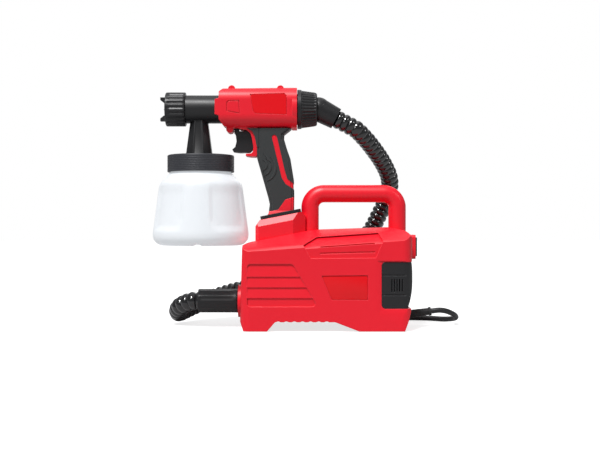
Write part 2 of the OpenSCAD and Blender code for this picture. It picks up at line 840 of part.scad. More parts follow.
module filter_cover() {
    cover_gap = 0.4;
    end_x = body_right + 0.6;
    side_y = body_half - bay_recess;
    inner = 2.4;
    slots = 5;
    color([0.16, 0.16, 0.17]) difference() {
        intersection() {
            filter_bay(-cover_gap);
            translate([0, 0, -10]) linear_extrude(big)
                round_rect(body_left, end_x, -side_y, side_y, body_corner_r);
            plate_y(-big / 2, big / 2) polygon(concat(
                [[bay_x, bay_z0]], arc(bay_x - 66, 66, end_x - bay_x + 66, -26, 14, 8), [[bay_x, bay_z1]]
            ));
        }
        intersection() {
            block([bay_x - 1, -big, bay_z0 + inner + cover_gap],
                [end_x - 2 * inner, big, bay_z1 - inner - cover_gap]);
            translate([0, 0, -10]) linear_extrude(big)
                round_rect(body_left, end_x - 2 * inner, -side_y + inner, side_y - inner,
                    body_corner_r - inner);
        }
        for (z = [45, 69.5], side = [-1, 1])
            rod_x(bay_x + 1, body_right + 5, 0.9, z, side * side_y);
        for (side = [-1, 1], i = [0:slots - 1])
            block([bay_x + 12 + 3.2 * i, side * side_y - 5, 49],
                [bay_x + 13.4 + 3.2 * i, side * side_y + 5, 65]);
        for (i = [-4:4]) block([body_right - 12, 9 * i - 2, 44], [body_right + 5, 9 * i + 2, 70]);
    }
}

module filter_foam() {
    color([0.32, 0.33, 0.35]) block([bay_x + 0.3, -40, bay_z0 + 5], [bay_x + 22, 40, bay_z1 - 5]);
}

// ---------------------------------------------------------------- switch and wiring

module switch_frame() {
    color([0.12, 0.12, 0.13]) difference() {
        union() {
            block([body_right - 16, -14, boss_z - 10.5], [boss_x, 14, boss_z + 10.5]);
            block([boss_x, -16.5, boss_z - 12], [boss_x + 2, 16.5, boss_z + 12]);
        }
        block([boss_x - 11.5, -11.4, boss_z - 7.4], [boss_x + 3, 11.4, boss_z + 7.4]);
        rod_y(boss_x - 3, boss_z, -12.6, 12.6, 1.5 + fit);
    }
}

// Rocker with two flats, resting with its upper flat out.
module rocker() {
    throw = 7;
    color([0.12, 0.12, 0.13]) translate([boss_x - 3, 0, boss_z]) rotate([0, throw, 0]) union() {
        plate_y(-11, 11) polygon([[-6, -4.5], [4.6, -6.2], [2.8, 0], [4.6, 6.2], [-6, 4.5]]);
        rod_y(0, 0, -12.5, 12.5, 1.5);
    }
}

module terminal_block() {
    color([0.85, 0.85, 0.82]) difference() {
        block([bay_x + 4, 20, bay_z1 + bulkhead_t], [bay_x + 22, 44, bay_z1 + bulkhead_t + 10]);
        for (y = [26, 32, 38]) translate([bay_x + 13, y, bay_z1 + bulkhead_t + 4]) cylinder(h = 10, r = 1.8);
    }
}

// Lead inside the housing, from the strain relief up to the terminal block.
module inner_lead() {
    r = lead_d / 2;
    up_x = bay_x - 9;
    top_z = bay_z1 + bulkhead_t + 5;
    color([0.1, 0.1, 0.1]) union() {
        rod_x(up_x, relief_x0 - 5, r, lead_z);
        translate([up_x, 0, lead_z]) sphere(r);
        translate([up_x, 0, lead_z]) cylinder(h = top_z - lead_z, r = r);
        translate([up_x, 0, top_z]) sphere(r);
        rod_y(up_x, top_z, 0, 32, r);
        translate([up_x, 32, top_z]) sphere(r);
        rod_x(up_x, bay_x + 4, r, top_z, 32);
    }
}

module cord_clamp() {
    color([0.12, 0.12, 0.13]) difference() {
        block([bay_x + 8, -13, body_wall], [bay_x + 18, 13, lead_z + 7]);
        rod_x(bay_x + 7, bay_x + 19, lead_d / 2 + fit, lead_z);
    }
}

module strain_relief() {
    run = lead_dirs[0];
    reach = norm(run);
    flange_t = 3;
    color([0.1, 0.1, 0.1]) difference() {
        union() {
            rod_x(body_right - 10, relief_x0 + 3, 6.25, lead_z);
            translate([relief_x0 + 2, 0, lead_z]) rotate([0, atan2(run.x, run.z), 0]) {
                cylinder(h = reach - flange_t + 0.1, r1 = 5.5, r2 = 4.6);
                translate([0, 0, reach - flange_t]) cylinder(h = flange_t, r = 5.6);
            }
        }
        rod_x(body_right - 11, body_right - 6, lead_d / 2, lead_z);
    }
}

// ---------------------------------------------------------------- mains lead

lead_curve = route_curve(lead_route, lead_dirs, lead_d, 5);

module mains_lead() {
    color([0.1, 0.1, 0.1])
        sweep(lead_curve, [for (p = lead_curve) lead_d / 2], 8);
}

// Middle line of the coil: in along the lower layer, up a layer, and out again.
function coil_point(t) =
    let (
        loops = coil_loops,
        u = t < loops ? t : 2 * loops - t,
        climb = min(1, max(0, (t - loops + 0.25) / 0.5)),
        r = coil_r + coil_step * (loops / 2 - u),
        a = 270 - 360 * t
    )
    [coil_c.x + r * cos(a), coil_c.y + r * sin(a), lead_d / 2 + 0.1 + coil_step * climb];

coil_end = coil_point(2 * coil_loops);
coil_tail = 46;              // straight run from the last turn to the plug
coil_curve = concat(
    [coil_point(0) + [lead_d, 0, 0]],
    [for (i = [0:2 * coil_loops * coil_rings]) coil_point(i / coil_rings)],
    [for (i = [1:4]) coil_end - [coil_tail * i / 4, 0, 0]]
);

module mains_coil() {
    echo(coil_gap = self_gap(coil_curve, lead_d, coil_rings / 2), coil_length = curve_len(coil_curve));
    color([0.1, 0.1, 0.1]) sweep(coil_curve, [for (p = coil_curve) lead_d / 2], 6);
}

plug_len = 40;
plug_tail = coil_end - [coil_tail, 0, 0];

// Flat two-pin plug on the lead's end, its pins pointing to -X.
module plug_body() {
    h = 2 * plug_tail.z;
    color([0.1, 0.1, 0.1]) translate(plug_tail) rotate([90, 0, -90]) union() {
        cylinder(h = 10, r = 5.2);
        translate([0, 0, 9]) linear_extrude(10) round_rect(-11, 11, -8, 8, 6);
        translate([0, 0, 18]) linear_extrude(plug_len - 18) round_rect(-17.5, 17.5, -h / 2, h / 2, 8);
    }
}

module plug_pins() {
    color([0.75, 0.75, 0.78]) for (y = [-9.5, 9.5])
        rod_x(plug_tail.x - plug_len - 19, plug_tail.x - plug_len, 2.4, plug_tail.z, plug_tail.y + y);
}

// ---------------------------------------------------------------- air hose

hose_curve = route_curve(hose_route, hose_dirs, hose_d, rib_pitch / 2);

module air_hose() {
    n = len(hose_curve);
    straight = 6;
    radii = [for (i = [0:n - 1])
        i < straight || i > n - 1 - straight ? hose_d / 2 - 0.6 : hose_d / 2 - (i % 2) * 2];
    echo(hose_gap = self_gap(hose_curve, hose_d, 16), hose_length = curve_len(hose_curve), rings = n);
    color([0.1, 0.1, 0.11]) sweep_hollow(hose_curve, radii, hose_bore / 2, 8, 4);
}

// Direction in which the cuff points.
cuff_dir = hose_dirs[0];
cuff_len = norm(cuff_dir);
cuff_turn = atan2(cuff_dir.x, cuff_dir.z);

module on_cuff() {
    translate([cuff_bend_x, 0, gun_z]) rotate([0, cuff_turn, 0]) children();
}

module hose_cuff() {
    neck_r = 15.6;
    color([0.17, 0.17, 0.18]) difference() {
        union() {
            rod_x(spigot_end + 2.4, 34, spigot_d / 2 - 0.4, gun_z);
            rod_x(33, cuff_bend_x, neck_r, gun_z);
            translate([cuff_bend_x, 0, gun_z]) sphere(neck_r + 0.3);
            on_cuff() cylinder(h = cuff_len, r1 = neck_r, r2 = 14);
        }
        rod_x(spigot_end, cuff_bend_x, 10.5, gun_z);
        on_cuff() translate([0, 0, -3]) cylinder(h = 6, r = 10);
        on_cuff() translate([0, 0, 1.5]) cylinder(h = cuff_len + 1, r = hose_d / 2 + 0.2);
    }
}

module hose_seal() {
    color([0.08, 0.08, 0.08]) tube_x(spigot_end, spigot_end + 2.4, spigot_d / 2 - 0.6, 13, gun_z);
}

module collar_nut() {
    ribs = 34;
    r0 = collar_d / 2;
    r1 = r0 - 4.5;
    lean = atan((r0 - r1) / (collar_x1 - collar_x0));
    color([0.15, 0.15, 0.16]) difference() {
        cone_x(collar_x0, collar_x1, r0, r1, gun_z);
        rod_x(collar_x0 - 1, 34 + gap, spigot_d / 2 + gap, gun_z);
        rod_x(30, collar_x1 + 1, 15.8 + 0.4, gun_z);
        for (i = [0:ribs - 1]) translate([0, 0, gun_z]) rotate([360 * i / ribs, 0, 0])
            translate([collar_x0 + 3, 0, r0 - 1.6]) rotate([0, lean, 0]) block([0, -1.1, 0], [30, 1.1, 4]);
    }
}

// ---------------------------------------------------------------- gun form

// Outline of the gun housing from the side, d inside its outer face.
function housing_outline(d) = [
    [housing_x0 + d, gun_z - 15], [housing_x0 + 5 + d, gun_z - 22 + d], [housing_x0 + 12, gun_z - 25.5 + d],
    [housing_x1 - d, gun_z - 25.5 + d], [housing_x1 - d, gun_z + 27 - d], [-70, gun_z + 25.2 - d],
    [housing_x0 + 5 + d, gun_z + 25.2 - d], [housing_x0 + d, gun_z + 21], [housing_x0 + d, gun_z + 12],
    [housing_x0 - 5 + d, gun_z + 10.5 - d], [housing_x0 - 5 + d, gun_z - 8.5 + d],
    [housing_x0 + d, gun_z - 10]
];

// The housing's solid form, d inside its outer face.
module housing_form(d) {
    intersection() {
        plate_y(-big / 2, big / 2) polygon(housing_outline(d));
        translate([-120, 0, gun_z]) rotate([90, 0, 90]) linear_extrude(200)
            round_rect(-housing_w / 2 + d, housing_w / 2 - d, -25.6 + d, 27 - d, 17);
    }
}

// Front edge of the grip, from the top down, as [x, z].
grip_front = [
    [-36.5, 256.5], [-36.5, 222], [-33.4, 210.8], [-29.5, 197.4], [-24.7, 180.3], [-20.9, 167],
    [-19, 158.4], [-20.5, 147.5]
];
// Rear edge of the grip, from the bottom up, as [x, z].
grip_rear = [
    [12.2, 147.5], [12.5, 170], [12, 190], [7.7, 216.5], [3, 230], [-0.9, 243.3], [-0.5, 249],
    [9, 256.5]
];

// Outline of the grip, d inside its outer face.
function grip_outline(d) = concat(
    [for (p = grip_front) [p.x + d, p.y]],
    [for (p = grip_rear) [p.x - d, p.y]]
);

// Grip with rounded long edges, d inside its outer face, w wide.
module grip_form(d, w) {
    edge = 4;
    plate_y(-w / 2 + edge, w / 2 - edge) polygon(grip_outline(d));
    plate_y(-w / 2 + edge / 3, w / 2 - edge / 3) polygon(grip_outline(d + edge / 3));
    plate_y(-w / 2, w / 2) polygon(grip_outline(d + edge));
}

// Lower part of the grip that has no rubber.
foot_outline = [
    [30, 168], [12.5, 168], [1.2, 164.6], [-8, 151.6], [-16, 149.8], [-60, 149.8], [-60, 120], [30, 120]
];
// Stripe of the core that stands in a slot of the rubber.
stripe_outline = [
    [-16.3, 244.5], [-15.5, 246.8], [-13.2, 247.8], [-10.6, 246.6], [-9.4, 243.8], [0.4, 201.4],
    [3.6, 191], [14, 183.6], [14, 176.4], [1.4, 184.4], [-3.7, 192.6]
];
// Guard behind the trigger.
guard_outline = [
    [-60, 258], [-58, 255.6], [-49, 254.4], [-44, 250], [-42, 244.5], [-40, 232], [-40.7, 226.5],
    [-43, 224], [-49.5, 223.6], [-50, 221.2], [-44, 220.2], [-37.5, 220], [-32, 224], [-30, 258]
];
// The guard's red edge that stays free of rubber.
guard_edge_x = -35.4;
// Rubber on the guard's sides, between its red edge and the housing.
guard_pad_outline = [
    [-48, 256.2], [-41.2, 252], [-38.2, 245.5], [-35.6, 232], [-33, 232], [-33, 256.2]
];

// Foot that sits on the dock ring: a wedge under the grip, wider than it.
module gun_foot() {
    rise = tan(dock_tilt);
    foot_l = -20;
    foot_r = 18.5;
    top = 149.4;
    intersection() {
        plate_y(-20, 20) polygon([
            [dock_x + foot_l, dock_z + rise * foot_l], [dock_x + foot_r, dock_z + rise * foot_r],
            [dock_x + foot_r - 0.5, top + 1], [dock_x + foot_l + 6, top]
        ]);
        rotate([90, 0, 90]) translate([0, 0, -60]) linear_extrude(120) polygon([
            [-19, 130], [19, 130], [19, 145], [grip_w / 2, top + 1], [-grip_w / 2, top + 1], [-19, 145]
        ]);
    }
}

module gun_peg(d) {
    on_dock(dock_z) block([-peg_l / 2 + d, -peg_w / 2 + d, -peg_len],
        [peg_l / 2 - d, peg_w / 2 - d, foot_lift + 2]);
}

// Screw places of the gun shells, as [x, z].
gun_screw_places = [
    [-68, gun_z + 25], [-5.3, gun_z + 25], [-70.6, gun_z - 26.6], [-14, 232], [1, 160]
];

module gun_bosses() {
    for (i = [0:len(gun_screw_places) - 1]) {
        p = gun_screw_places[i];
        reach = i == 2 ? 12 : i > 2 ? core_half - 0.4 : 14;
        rod_y(p.x, p.y, -reach, reach, gun_boss_r + 0.6);
    }
}

module gun_screw_holes() {
    for (p = gun_screw_places) {
        rod_y(p.x, p.y, -9, 5, screw_r + 0.02);
        rod_y(p.x, p.y, 5, 40, screw_r * 2 + 0.3);
    }
}

// Label field and lock marks on the housing.
module housing_marks() {
    mark = [[-74, gun_z + 6.6], [-71.6, gun_z + 9], [-57.6, gun_z + 9.4], [-56.4, gun_z - 8.4],
        [-74, gun_z - 4.6]];
    plate_y(-big / 2, big / 2) union() {
        polygon([[-44, gun_z + 17], [0, gun_z + 18.5], [3, gun_z + 15], [3, gun_z - 9.5], [-37, gun_z - 8],
            [-40, gun_z - 5]]);
        difference() {
            polygon(mark);
            translate([-65.4, gun_z + 1]) scale(0.86) translate([65.4, -gun_z - 1]) polygon(mark);
        }
    }
}

// Whole gun body before it is split into its two shells.
module gun_body() {
    rim_r = 27.2;
    difference() {
        union() {
            difference() {
                union() {
                    difference() {
                        housing_form(0);
                        housing_marks();
                    }
                    housing_form(1);
                    rod_x(housing_x1 - 6, housing_x1, rim_r, gun_z);
                    rod_x(housing_x1, spigot_end, spigot_d / 2, gun_z);
                    grip_form(rubber_t + 0.05, grip_w - 2 * rubber_t);
                    intersection() {
                        grip_form(0, grip_w);
                        plate_y(-30, 30) polygon(foot_outline);
                    }
                    intersection() {
                        grip_form(0.6, grip_w - 1.2);
                        plate_y(-30, 30) polygon(stripe_outline);
                    }
                    intersection() {
                        plate_y(-core_half, core_half) polygon(guard_outline);
                        block([-60, -30, 200], [guard_edge_x, 30, 259]);
                    }
                    gun_foot();
                }
                on_dock(dock_z) block([-60, -30, -20], [60, 30, foot_lift]);
                // air chamber of the housing
                rod_x(-70, housing_x1 - 3, 22, gun_z);
                rod_x(0, spigot_end + 1, 15, gun_z);
                rod_x(-95, -60, barrel_d / 2 + fit, gun_z);
                // hollow grip and peg
                plate_y(-core_half + 2.6, core_half - 2.6) polygon([
                    [-25, 240], [-25, 215], [-16, 180], [-12, 158], [4, 158], [4, 200], [-6, 232], [-8, 240]
                ]);
                // pocket into which the trigger moves
                block([-71, -half_pocket, 224.2], [-46, half_pocket, 270]);
                block([-46.1, -half_pocket, 224.2], [-27.8, half_pocket, 266]);
            }
            gun_bosses();
            difference() {
                gun_peg(0);
                gun_peg(2.6);
            }
            // seats of the trigger pin
            for (side = [-1, 1]) rod_y(pivot_x, pivot_z, side > 0 ? 11.4 : -22, side > 0 ? 22 : -11.4, 4.6);
        }
        rod_y(pivot_x, pivot_z, -18, 18, trigger_pin_d / 2 + 0.02);
        gun_screw_holes();
        rod_x(-95, -71.5, barrel_d / 2 + fit, gun_z);
    }
}

module gun_left_shell() {
    color([0.86, 0.06, 0.12]) half(-1) gun_body();
}

module gun_right_shell() {
    color([0.86, 0.06, 0.12]) half(1) gun_body();
}

module gun_screws() {
    color([0.6, 0.6, 0.62]) for (p = gun_screw_places) screw_y(p.x, p.y, 7.5, -8, screw_r);
}

module grip_sleeve() {
    color([0.17, 0.18, 0.18]) difference() {
        union() {
            intersection() {
                grip_form(0, grip_w);
                block([guard_edge_x + 0.1, -30, 150], [20, 30, 256.2]);
            }
            plate_y(-grip_w / 2 + 0.5, grip_w / 2 - 0.5) polygon(guard_pad_outline);
        }
        grip_form(rubber_t, grip_w - 2 * rubber_t + 0.1);
        block([-50, -core_half - 0.05, 220], [guard_edge_x + 2, core_half + 0.05, 260]);
        gun_foot();
        plate_y(-30, 30) polygon(foot_outline);
        plate_y(-30, 30) polygon(stripe_outline);
        housing_form(-0.1);
        for (p = gun_screw_places) rod_y(p.x, p.y, 0, 40, screw_r * 2 + 0.3);
    }
}

// ---------------------------------------------------------------- barrel and paint needle

module barrel() {
    r = barrel_d / 2;
    spigot_r = union_d / 2 - 5.1;
    color([0.13, 0.13, 0.14]) difference() {
        union() {
            difference() {
                union() {
                    rod_x(barrel_x0, barrel_x1, r, gun_z);
                    rod_x(-144.2, barrel_x0 + 1, spigot_r, gun_z);
                }
                rod_x(barrel_x0 - 20, -75, r - 3.6, gun_z);
            }
            rod_x(-141, -74, 6.5, gun_z);
            translate([neck_x, 0, gun_z - r + 2]) cylinder(h = r - 2, r = 7);
            for (a = [45, 135, 225, 315]) translate([0, 0, gun_z]) rotate([a, 0, 0])
                block([-138, -1, 5], [-134, 1, r - 3]);
        }
        rod_x(-142, -70, needle_d / 2 + 1.7, gun_z);
        rod_x(-80, -70, 4.5, gun_z);
        translate([neck_x, 0, gun_z - 30]) cylinder(h = 30, r = 3.5);
        translate([neck_x + 9, 0, gun_z - 30]) cylinder(h = 14.5, r = 1.2);
        for (i = [0:5]) translate([0, 0, gun_z]) rotate([60 * i, 0, 0]) rod_x(-76, -71, 3, 11);
    }
}

module needle() {
    collar_r = 6;
    // Room between the collars for the arms, which lean as the trigger turns.
    half_slot = (needle_travel_r + collar_r) * sin(trigger_pull) - needle_travel_r * trigger_pull * PI / 180
        + arm_w / 2 * cos(trigger_pull) + 0.23;
    color([0.78, 0.79, 0.8]) union() {
        cone_x(-157, -151, 0.5, needle_d / 2, gun_z);
        rod_x(-151, -50, needle_d / 2, gun_z);
        rod_x(pivot_x - half_slot - 2.3, pivot_x - half_slot, collar_r, gun_z);
        rod_x(pivot_x + half_slot, pivot_x + half_slot + 2.3, collar_r, gun_z);
    }
}

module needle_seal() {
    color([0.92, 0.92, 0.9]) tube_x(-80, -76, 4.45, needle_d / 2 + fit, gun_z);
}

module packing_nut() {
    color([0.75, 0.6, 0.3]) difference() {
        union() {
            rod_x(-76, -72, 4.45, gun_z);
            translate([-72, 0, gun_z]) rotate([0, 90, 0]) cylinder(h = 2.5, r = 6.5, $fn = 6);
        }
        rod_x(-77, -69, needle_d / 2 + 0.1, gun_z);
    }
}

module fluid_nozzle() {
    color([0.78, 0.79, 0.8]) difference() {
        union() {
            rod_x(-146.5, -141, 6.4, gun_z);
            cone_x(-156, -146.5, 2.3, 5, gun_z);
        }
        rod_x(-148, -140, needle_d / 2 + 1.7, gun_z);
        cone_x(-157, -148, 0.7, needle_d / 2 + 1.7, gun_z);
    }
}

module air_cap() {
    body_r = 13.2;
    color([0.13, 0.13, 0.14]) difference() {
        union() {
            rod_x(cap_x, -147.5, body_r, gun_z);
            rod_x(-148, -144.5, 16.4, gun_z);
            for (side = [-1, 1]) translate([0, 0, gun_z]) plate_y(-4, 4) polygon([
                [cap_x + 0.5, side * 7.5], [-157, side * 8.5], [-161.2, side * 12], [-161.2, side * 15.4],
                [cap_x, side * 15.4], [cap_x, side * 13], [cap_x + 0.5, side * 13]
            ]);
        }
        rod_x(-152.2, -144, 10.5, gun_z);
        rod_x(cap_x - 1, -152, 3.7, gun_z);
        for (side = [-1, 1]) rod_x(cap_x - 1, -152, 0.8, gun_z, side * 7);
    }
}

module union_nut() {
    flutes = 20;
    spigot_r = union_d / 2 - 5.1;
    color([0.14, 0.14, 0.15]) difference() {
        rod_x(union_x0, barrel_x0 - 0.2, union_d / 2, gun_z);
        rod_x(-148.1, barrel_x0 + 1, spigot_r + gap, gun_z);
        rod_x(union_x0 - 1, -147, 13.2 + gap, gun_z);
        for (i = [0:flutes - 1]) translate([0, 0, gun_z]) rotate([360 * i / flutes + 15, 0, 0])
            rod_x(union_x0 + 4, barrel_x0 + 1, 2.6, union_d / 2 + 1.3);
    }
}

// ---------------------------------------------------------------- trigger

trigger_outline = [
    [-64.8, 253], [-63, 247], [-62.1, 240], [-63.8, 233], [-67.7, 229.4], [-66, 226.4], [-58, 225.4],
    [-45, 225.8], [-41, 229.5], [-38.9, 240], [-39.5, 249], [-42, 253.5]
];

module trigger() {
    color([0.15, 0.15, 0.16]) difference() {
        union() {
            plate_y(-trigger_w / 2, trigger_w / 2) polygon(trigger_outline);
            for (side = [-1, 1]) plate_y(side > 0 ? arm_half - arm_t : -arm_half,
                side > 0 ? arm_half : arm_t - arm_half)
                translate([pivot_x - arm_w / 2, 250]) square([arm_w, pivot_z - 250]);
            for (side = [-1, 1]) rod_y(pivot_x, pivot_z, side > 0 ? arm_half - arm_t : -arm_half,
                side > 0 ? arm_half : arm_t - arm_half, 4.2);
        }
        rod_y(pivot_x, pivot_z, -20, 20, trigger_pin_d / 2 + fit);
    }
}

module trigger_pin() {
    color([0.7, 0.7, 0.72]) rod_y(pivot_x, pivot_z, -17.5, 17.5, trigger_pin_d / 2);
}

// Torsion spring round the trigger pin, its turns lying against each other.
module trigger_spring() {
    wire = 0.55;
    turns = 4;
    color([0.6, 0.6, 0.62]) for (side = [-1, 1])
        translate([pivot_x, side * 8.75, pivot_z]) rotate([90, 0, 0]) rotate_extrude()
            for (i = [0:turns - 1])
                translate([trigger_pin_d / 2 + 0.3 + wire, (i - (turns - 1) / 2) * wire * 1.9]) circle(wire);
}

// ---------------------------------------------------------------- cup, lid and suction

module cup_lid() {
    lid_r = cup_neck_d / 2 + thread_h + gap + lid_skirt_t;
    color([0.27, 0.28, 0.29]) difference() {
        union() {
            translate([cup_x, 0, lid_z0]) cylinder(h = lid_z1 - lid_z0, r = lid_r, $fn = 96);
            translate([neck_x, 0, lid_z1 - 0.5]) cylinder(h = gun_z - lid_z1, r1 = 17, r2 = 10.4);
        }
        translate([cup_x, 0, lid_z0 - 1])
            cylinder(h = lid_z1 - lid_z0 - lid_plate + 1, r = lid_r - lid_skirt_t, $fn = 96);
        rod_x(-140, -70, barrel_d / 2 + 0.02, gun_z);
        translate([neck_x, 0, lid_z0]) cylinder(h = 80, r = suction_r + 0.1);
        translate([neck_x + 9, 0, lid_z0]) cylinder(h = 80, r = 1.2);
    }
}

module lid_gasket() {
    color([0.1, 0.1, 0.1]) translate([cup_x, 0, cup_rim_z + 0.1]) difference() {
        cylinder(h = 2.5, r = cup_neck_d / 2);
        translate([0, 0, -1]) cylinder(h = 5, r = cup_neck_d / 2 - 6);
    }
}

module suction_tube() {
    bend_z = 192;
    top_z = gun_z - barrel_d / 2 - 1.5;
    lean = 14;
    lower = 82;
    bore = suction_r - 1.5;
    color([0.85, 0.87, 0.88]) translate([neck_x, 0, bend_z]) difference() {
        union() {
            cylinder(h = top_z - bend_z, r = suction_r);
            sphere(suction_r + 0.3);
            rotate([0, lean, 0]) translate([0, 0, -lower]) cylinder(h = lower, r = suction_r);
        }
        cylinder(h = 80, r = bore);
        sphere(bore + 0.3);
        rotate([0, lean, 0]) translate([0, 0, -lower - 1]) cylinder(h = lower + 1, r = bore);
    }
}

valve_x = neck_x + 12;

module valve_cap() {
    z1 = lid_z1 - lid_plate;
    color([0.8, 0.8, 0.8]) translate([valve_x, 0, z1 - 7]) difference() {
        cylinder(h = 7, r = 6);
        translate([0, 0, 1.4]) cylinder(h = 7, r = 4.6);
        translate([0, 0, -1]) cylinder(h = 4, r = 1);
    }
}

module valve_disc() {
    color([0.2, 0.2, 0.2]) translate([valve_x, 0, lid_z1 - lid_plate - 1.1]) cylinder(h = 1, r = 4.4);
}

// Half section of the cup, w inside its outer face.
function cup_outline(w) = let (
    r = cup_d / 2 - w,
    n = cup_neck_d / 2 - w,
    s = r - 10.3
) concat(
    arc(r - 13, cup_z0 + 13, 13 - w, -90, 0, 6),
    [[r, cup_z0 + 16]],
    arc(s - 9, cup_z0 + 81.5, 9, 4, 72, 5),
    [[n + 1.2, cup_z0 + 92], [n, cup_z0 + 93.5]]
);

module cup() {
    n = cup_neck_d / 2;
    outer = cup_outline(0);
    inner = cup_outline(cup_wall);
    last = len(inner) - 1;
    color([0.93, 0.95, 0.96, 0.8]) translate([cup_x, 0, 0]) rotate_extrude($fn = 96) polygon(concat(
        [[0, cup_z0]], outer,
        [[n, cup_z0 + 98], [n + thread_h, cup_z0 + 98.6], [n + thread_h, cup_z0 + 100.2], [n, cup_z0 + 101],
            [n, cup_z0 + 103], [n + thread_h, cup_z0 + 103.6], [n + thread_h, cup_z0 + 105.2],
            [n, cup_z0 + 106], [n, cup_rim_z], [n - cup_wall, cup_rim_z]],
        [for (i = [0:last]) inner[last - i]],
        [[0, cup_z0 + cup_wall]]
    ));
}

base_left_shell();
base_right_shell();
base_screws();
carry_handle();
dock();
dock_ring();
outlet_port();
turbine_casing();
turbine_cover();
diffuser();
impellers();
motor_shaft();
armature();
commutator();
stator();
field_windings();
motor_frame();
motor_bearings();
brush_holders();
carbon_brushes();
motor_mounts();
filter_cover();
filter_foam();
switch_frame();
rocker();
terminal_block();
inner_lead();
cord_clamp();
strain_relief();
mains_lead();
mains_coil();
plug_body();
plug_pins();
air_hose();
outlet_sleeve();
hose_cuff();
hose_seal();
collar_nut();
gun_left_shell();
gun_right_shell();
gun_screws();
grip_sleeve();
barrel();
needle();
needle_seal();
packing_nut();
fluid_nozzle();
air_cap();
union_nut();
trigger();
trigger_pin();
trigger_spring();
cup_lid();
lid_gasket();
suction_tube();
valve_cap();
valve_disc();
cup();
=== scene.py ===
"""Looks of the turbine paint sprayer: finishes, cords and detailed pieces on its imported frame.

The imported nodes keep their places. Round and moulded nodes are shown as welded copies with even
normals, and the hose, the mains lead, the cup and other pieces that need more form are modelled here.
Sizes in the classes are millimetres, and a piece becomes metres when its mesh is finished.
"""

from __future__ import annotations

import logging
import math
from dataclasses import dataclass, field
from enum import Enum
from typing import Callable, Iterable, Mapping, Sequence

import bmesh
import bpy
from mathutils import Matrix, Vector


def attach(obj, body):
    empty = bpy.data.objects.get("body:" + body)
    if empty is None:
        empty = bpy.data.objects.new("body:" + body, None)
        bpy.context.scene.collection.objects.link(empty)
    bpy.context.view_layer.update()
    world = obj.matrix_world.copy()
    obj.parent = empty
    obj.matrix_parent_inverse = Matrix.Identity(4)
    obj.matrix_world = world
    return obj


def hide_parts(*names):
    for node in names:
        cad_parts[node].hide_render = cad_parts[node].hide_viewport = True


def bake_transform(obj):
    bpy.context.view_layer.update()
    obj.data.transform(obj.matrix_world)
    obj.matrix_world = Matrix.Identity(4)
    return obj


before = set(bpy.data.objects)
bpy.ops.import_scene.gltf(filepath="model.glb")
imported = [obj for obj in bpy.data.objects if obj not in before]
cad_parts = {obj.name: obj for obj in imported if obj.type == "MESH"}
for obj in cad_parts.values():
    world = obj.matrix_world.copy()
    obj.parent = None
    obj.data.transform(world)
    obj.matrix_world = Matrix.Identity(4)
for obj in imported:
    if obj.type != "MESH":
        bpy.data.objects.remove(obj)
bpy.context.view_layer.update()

LOG = logging.getLogger("paint_sprayer")
MM = 0.001
GREY = (0.5, 0.5, 0.5, 1.0)
WHITE = (1.0, 1.0, 1.0, 1.0)
Point2 = tuple[float, float]
Point3 = tuple[float, float, float]
Tree = bpy.types.NodeTree
Link = bpy.types.NodeSocket
Vert = bmesh.types.BMVert
Edge = bmesh.types.BMEdge


def linear(colour: Point3) -> tuple[float, float, float, float]:
    """Turns a display colour of 0 to 255 into Blender's linear colour with full alpha."""
    parts = [c / 255 for c in colour]
    r, g, b = (c / 12.92 if c <= 0.04045 else ((c + 0.055) / 1.055) ** 2.4 for c in parts)
    return (r, g, b, 1.0)


def smooth(value: float, low: float, high: float) -> float:
    """Rises softly from 0 at low to 1 at high."""
    t = min(1.0, max(0.0, (value - low) / (high - low)))
    return t * t * (3 - 2 * t)


def arc(cx: float, cy: float, r: float, start: float, end: float, steps: int) -> list[Point2]:
    """Points of an arc from one angle to the other, both in degrees and included."""
    angles = (math.radians(start + (end - start) * k / steps) for k in range(steps + 1))
    return [(cx + r * math.cos(a), cy + r * math.sin(a)) for a in angles]


def feed(
    tree: Tree, kind: str | bpy.types.Node, values: Mapping[str | int, object] | None = None, **settings: object
) -> bpy.types.Node:
    """Adds a shader node, or takes one that is there, and fills its inputs.

    Args:
        tree: The node tree.
        kind: Type of the node to add, or the node itself.
        values: A socket to join or a plain value for each input.
        **settings: Properties of the node.

    Returns:
        The node.
    """
    node = tree.nodes.new(kind) if isinstance(kind, str) else kind
    for key, value in settings.items():
        setattr(node, key, value)
    for key, value in (values or {}).items():
        if isinstance(value, Link):
            tree.links.new(value, node.inputs[key])
        else:
            node.inputs[key].default_value = value
    return node


def add_object(name: str, data: bpy.types.ID) -> bpy.types.Object:
    """Makes an object in the scene's own collection."""
    made = bpy.data.objects.new(name, data)
    bpy.context.scene.collection.objects.link(made)
    return made


# ---- Node groups


class Socket(Enum):
    """Kinds of socket that the shared effects have."""

    VALUE = "NodeSocketFloat"
    COLOUR = "NodeSocketColor"
    VECTOR = "NodeSocketVector"


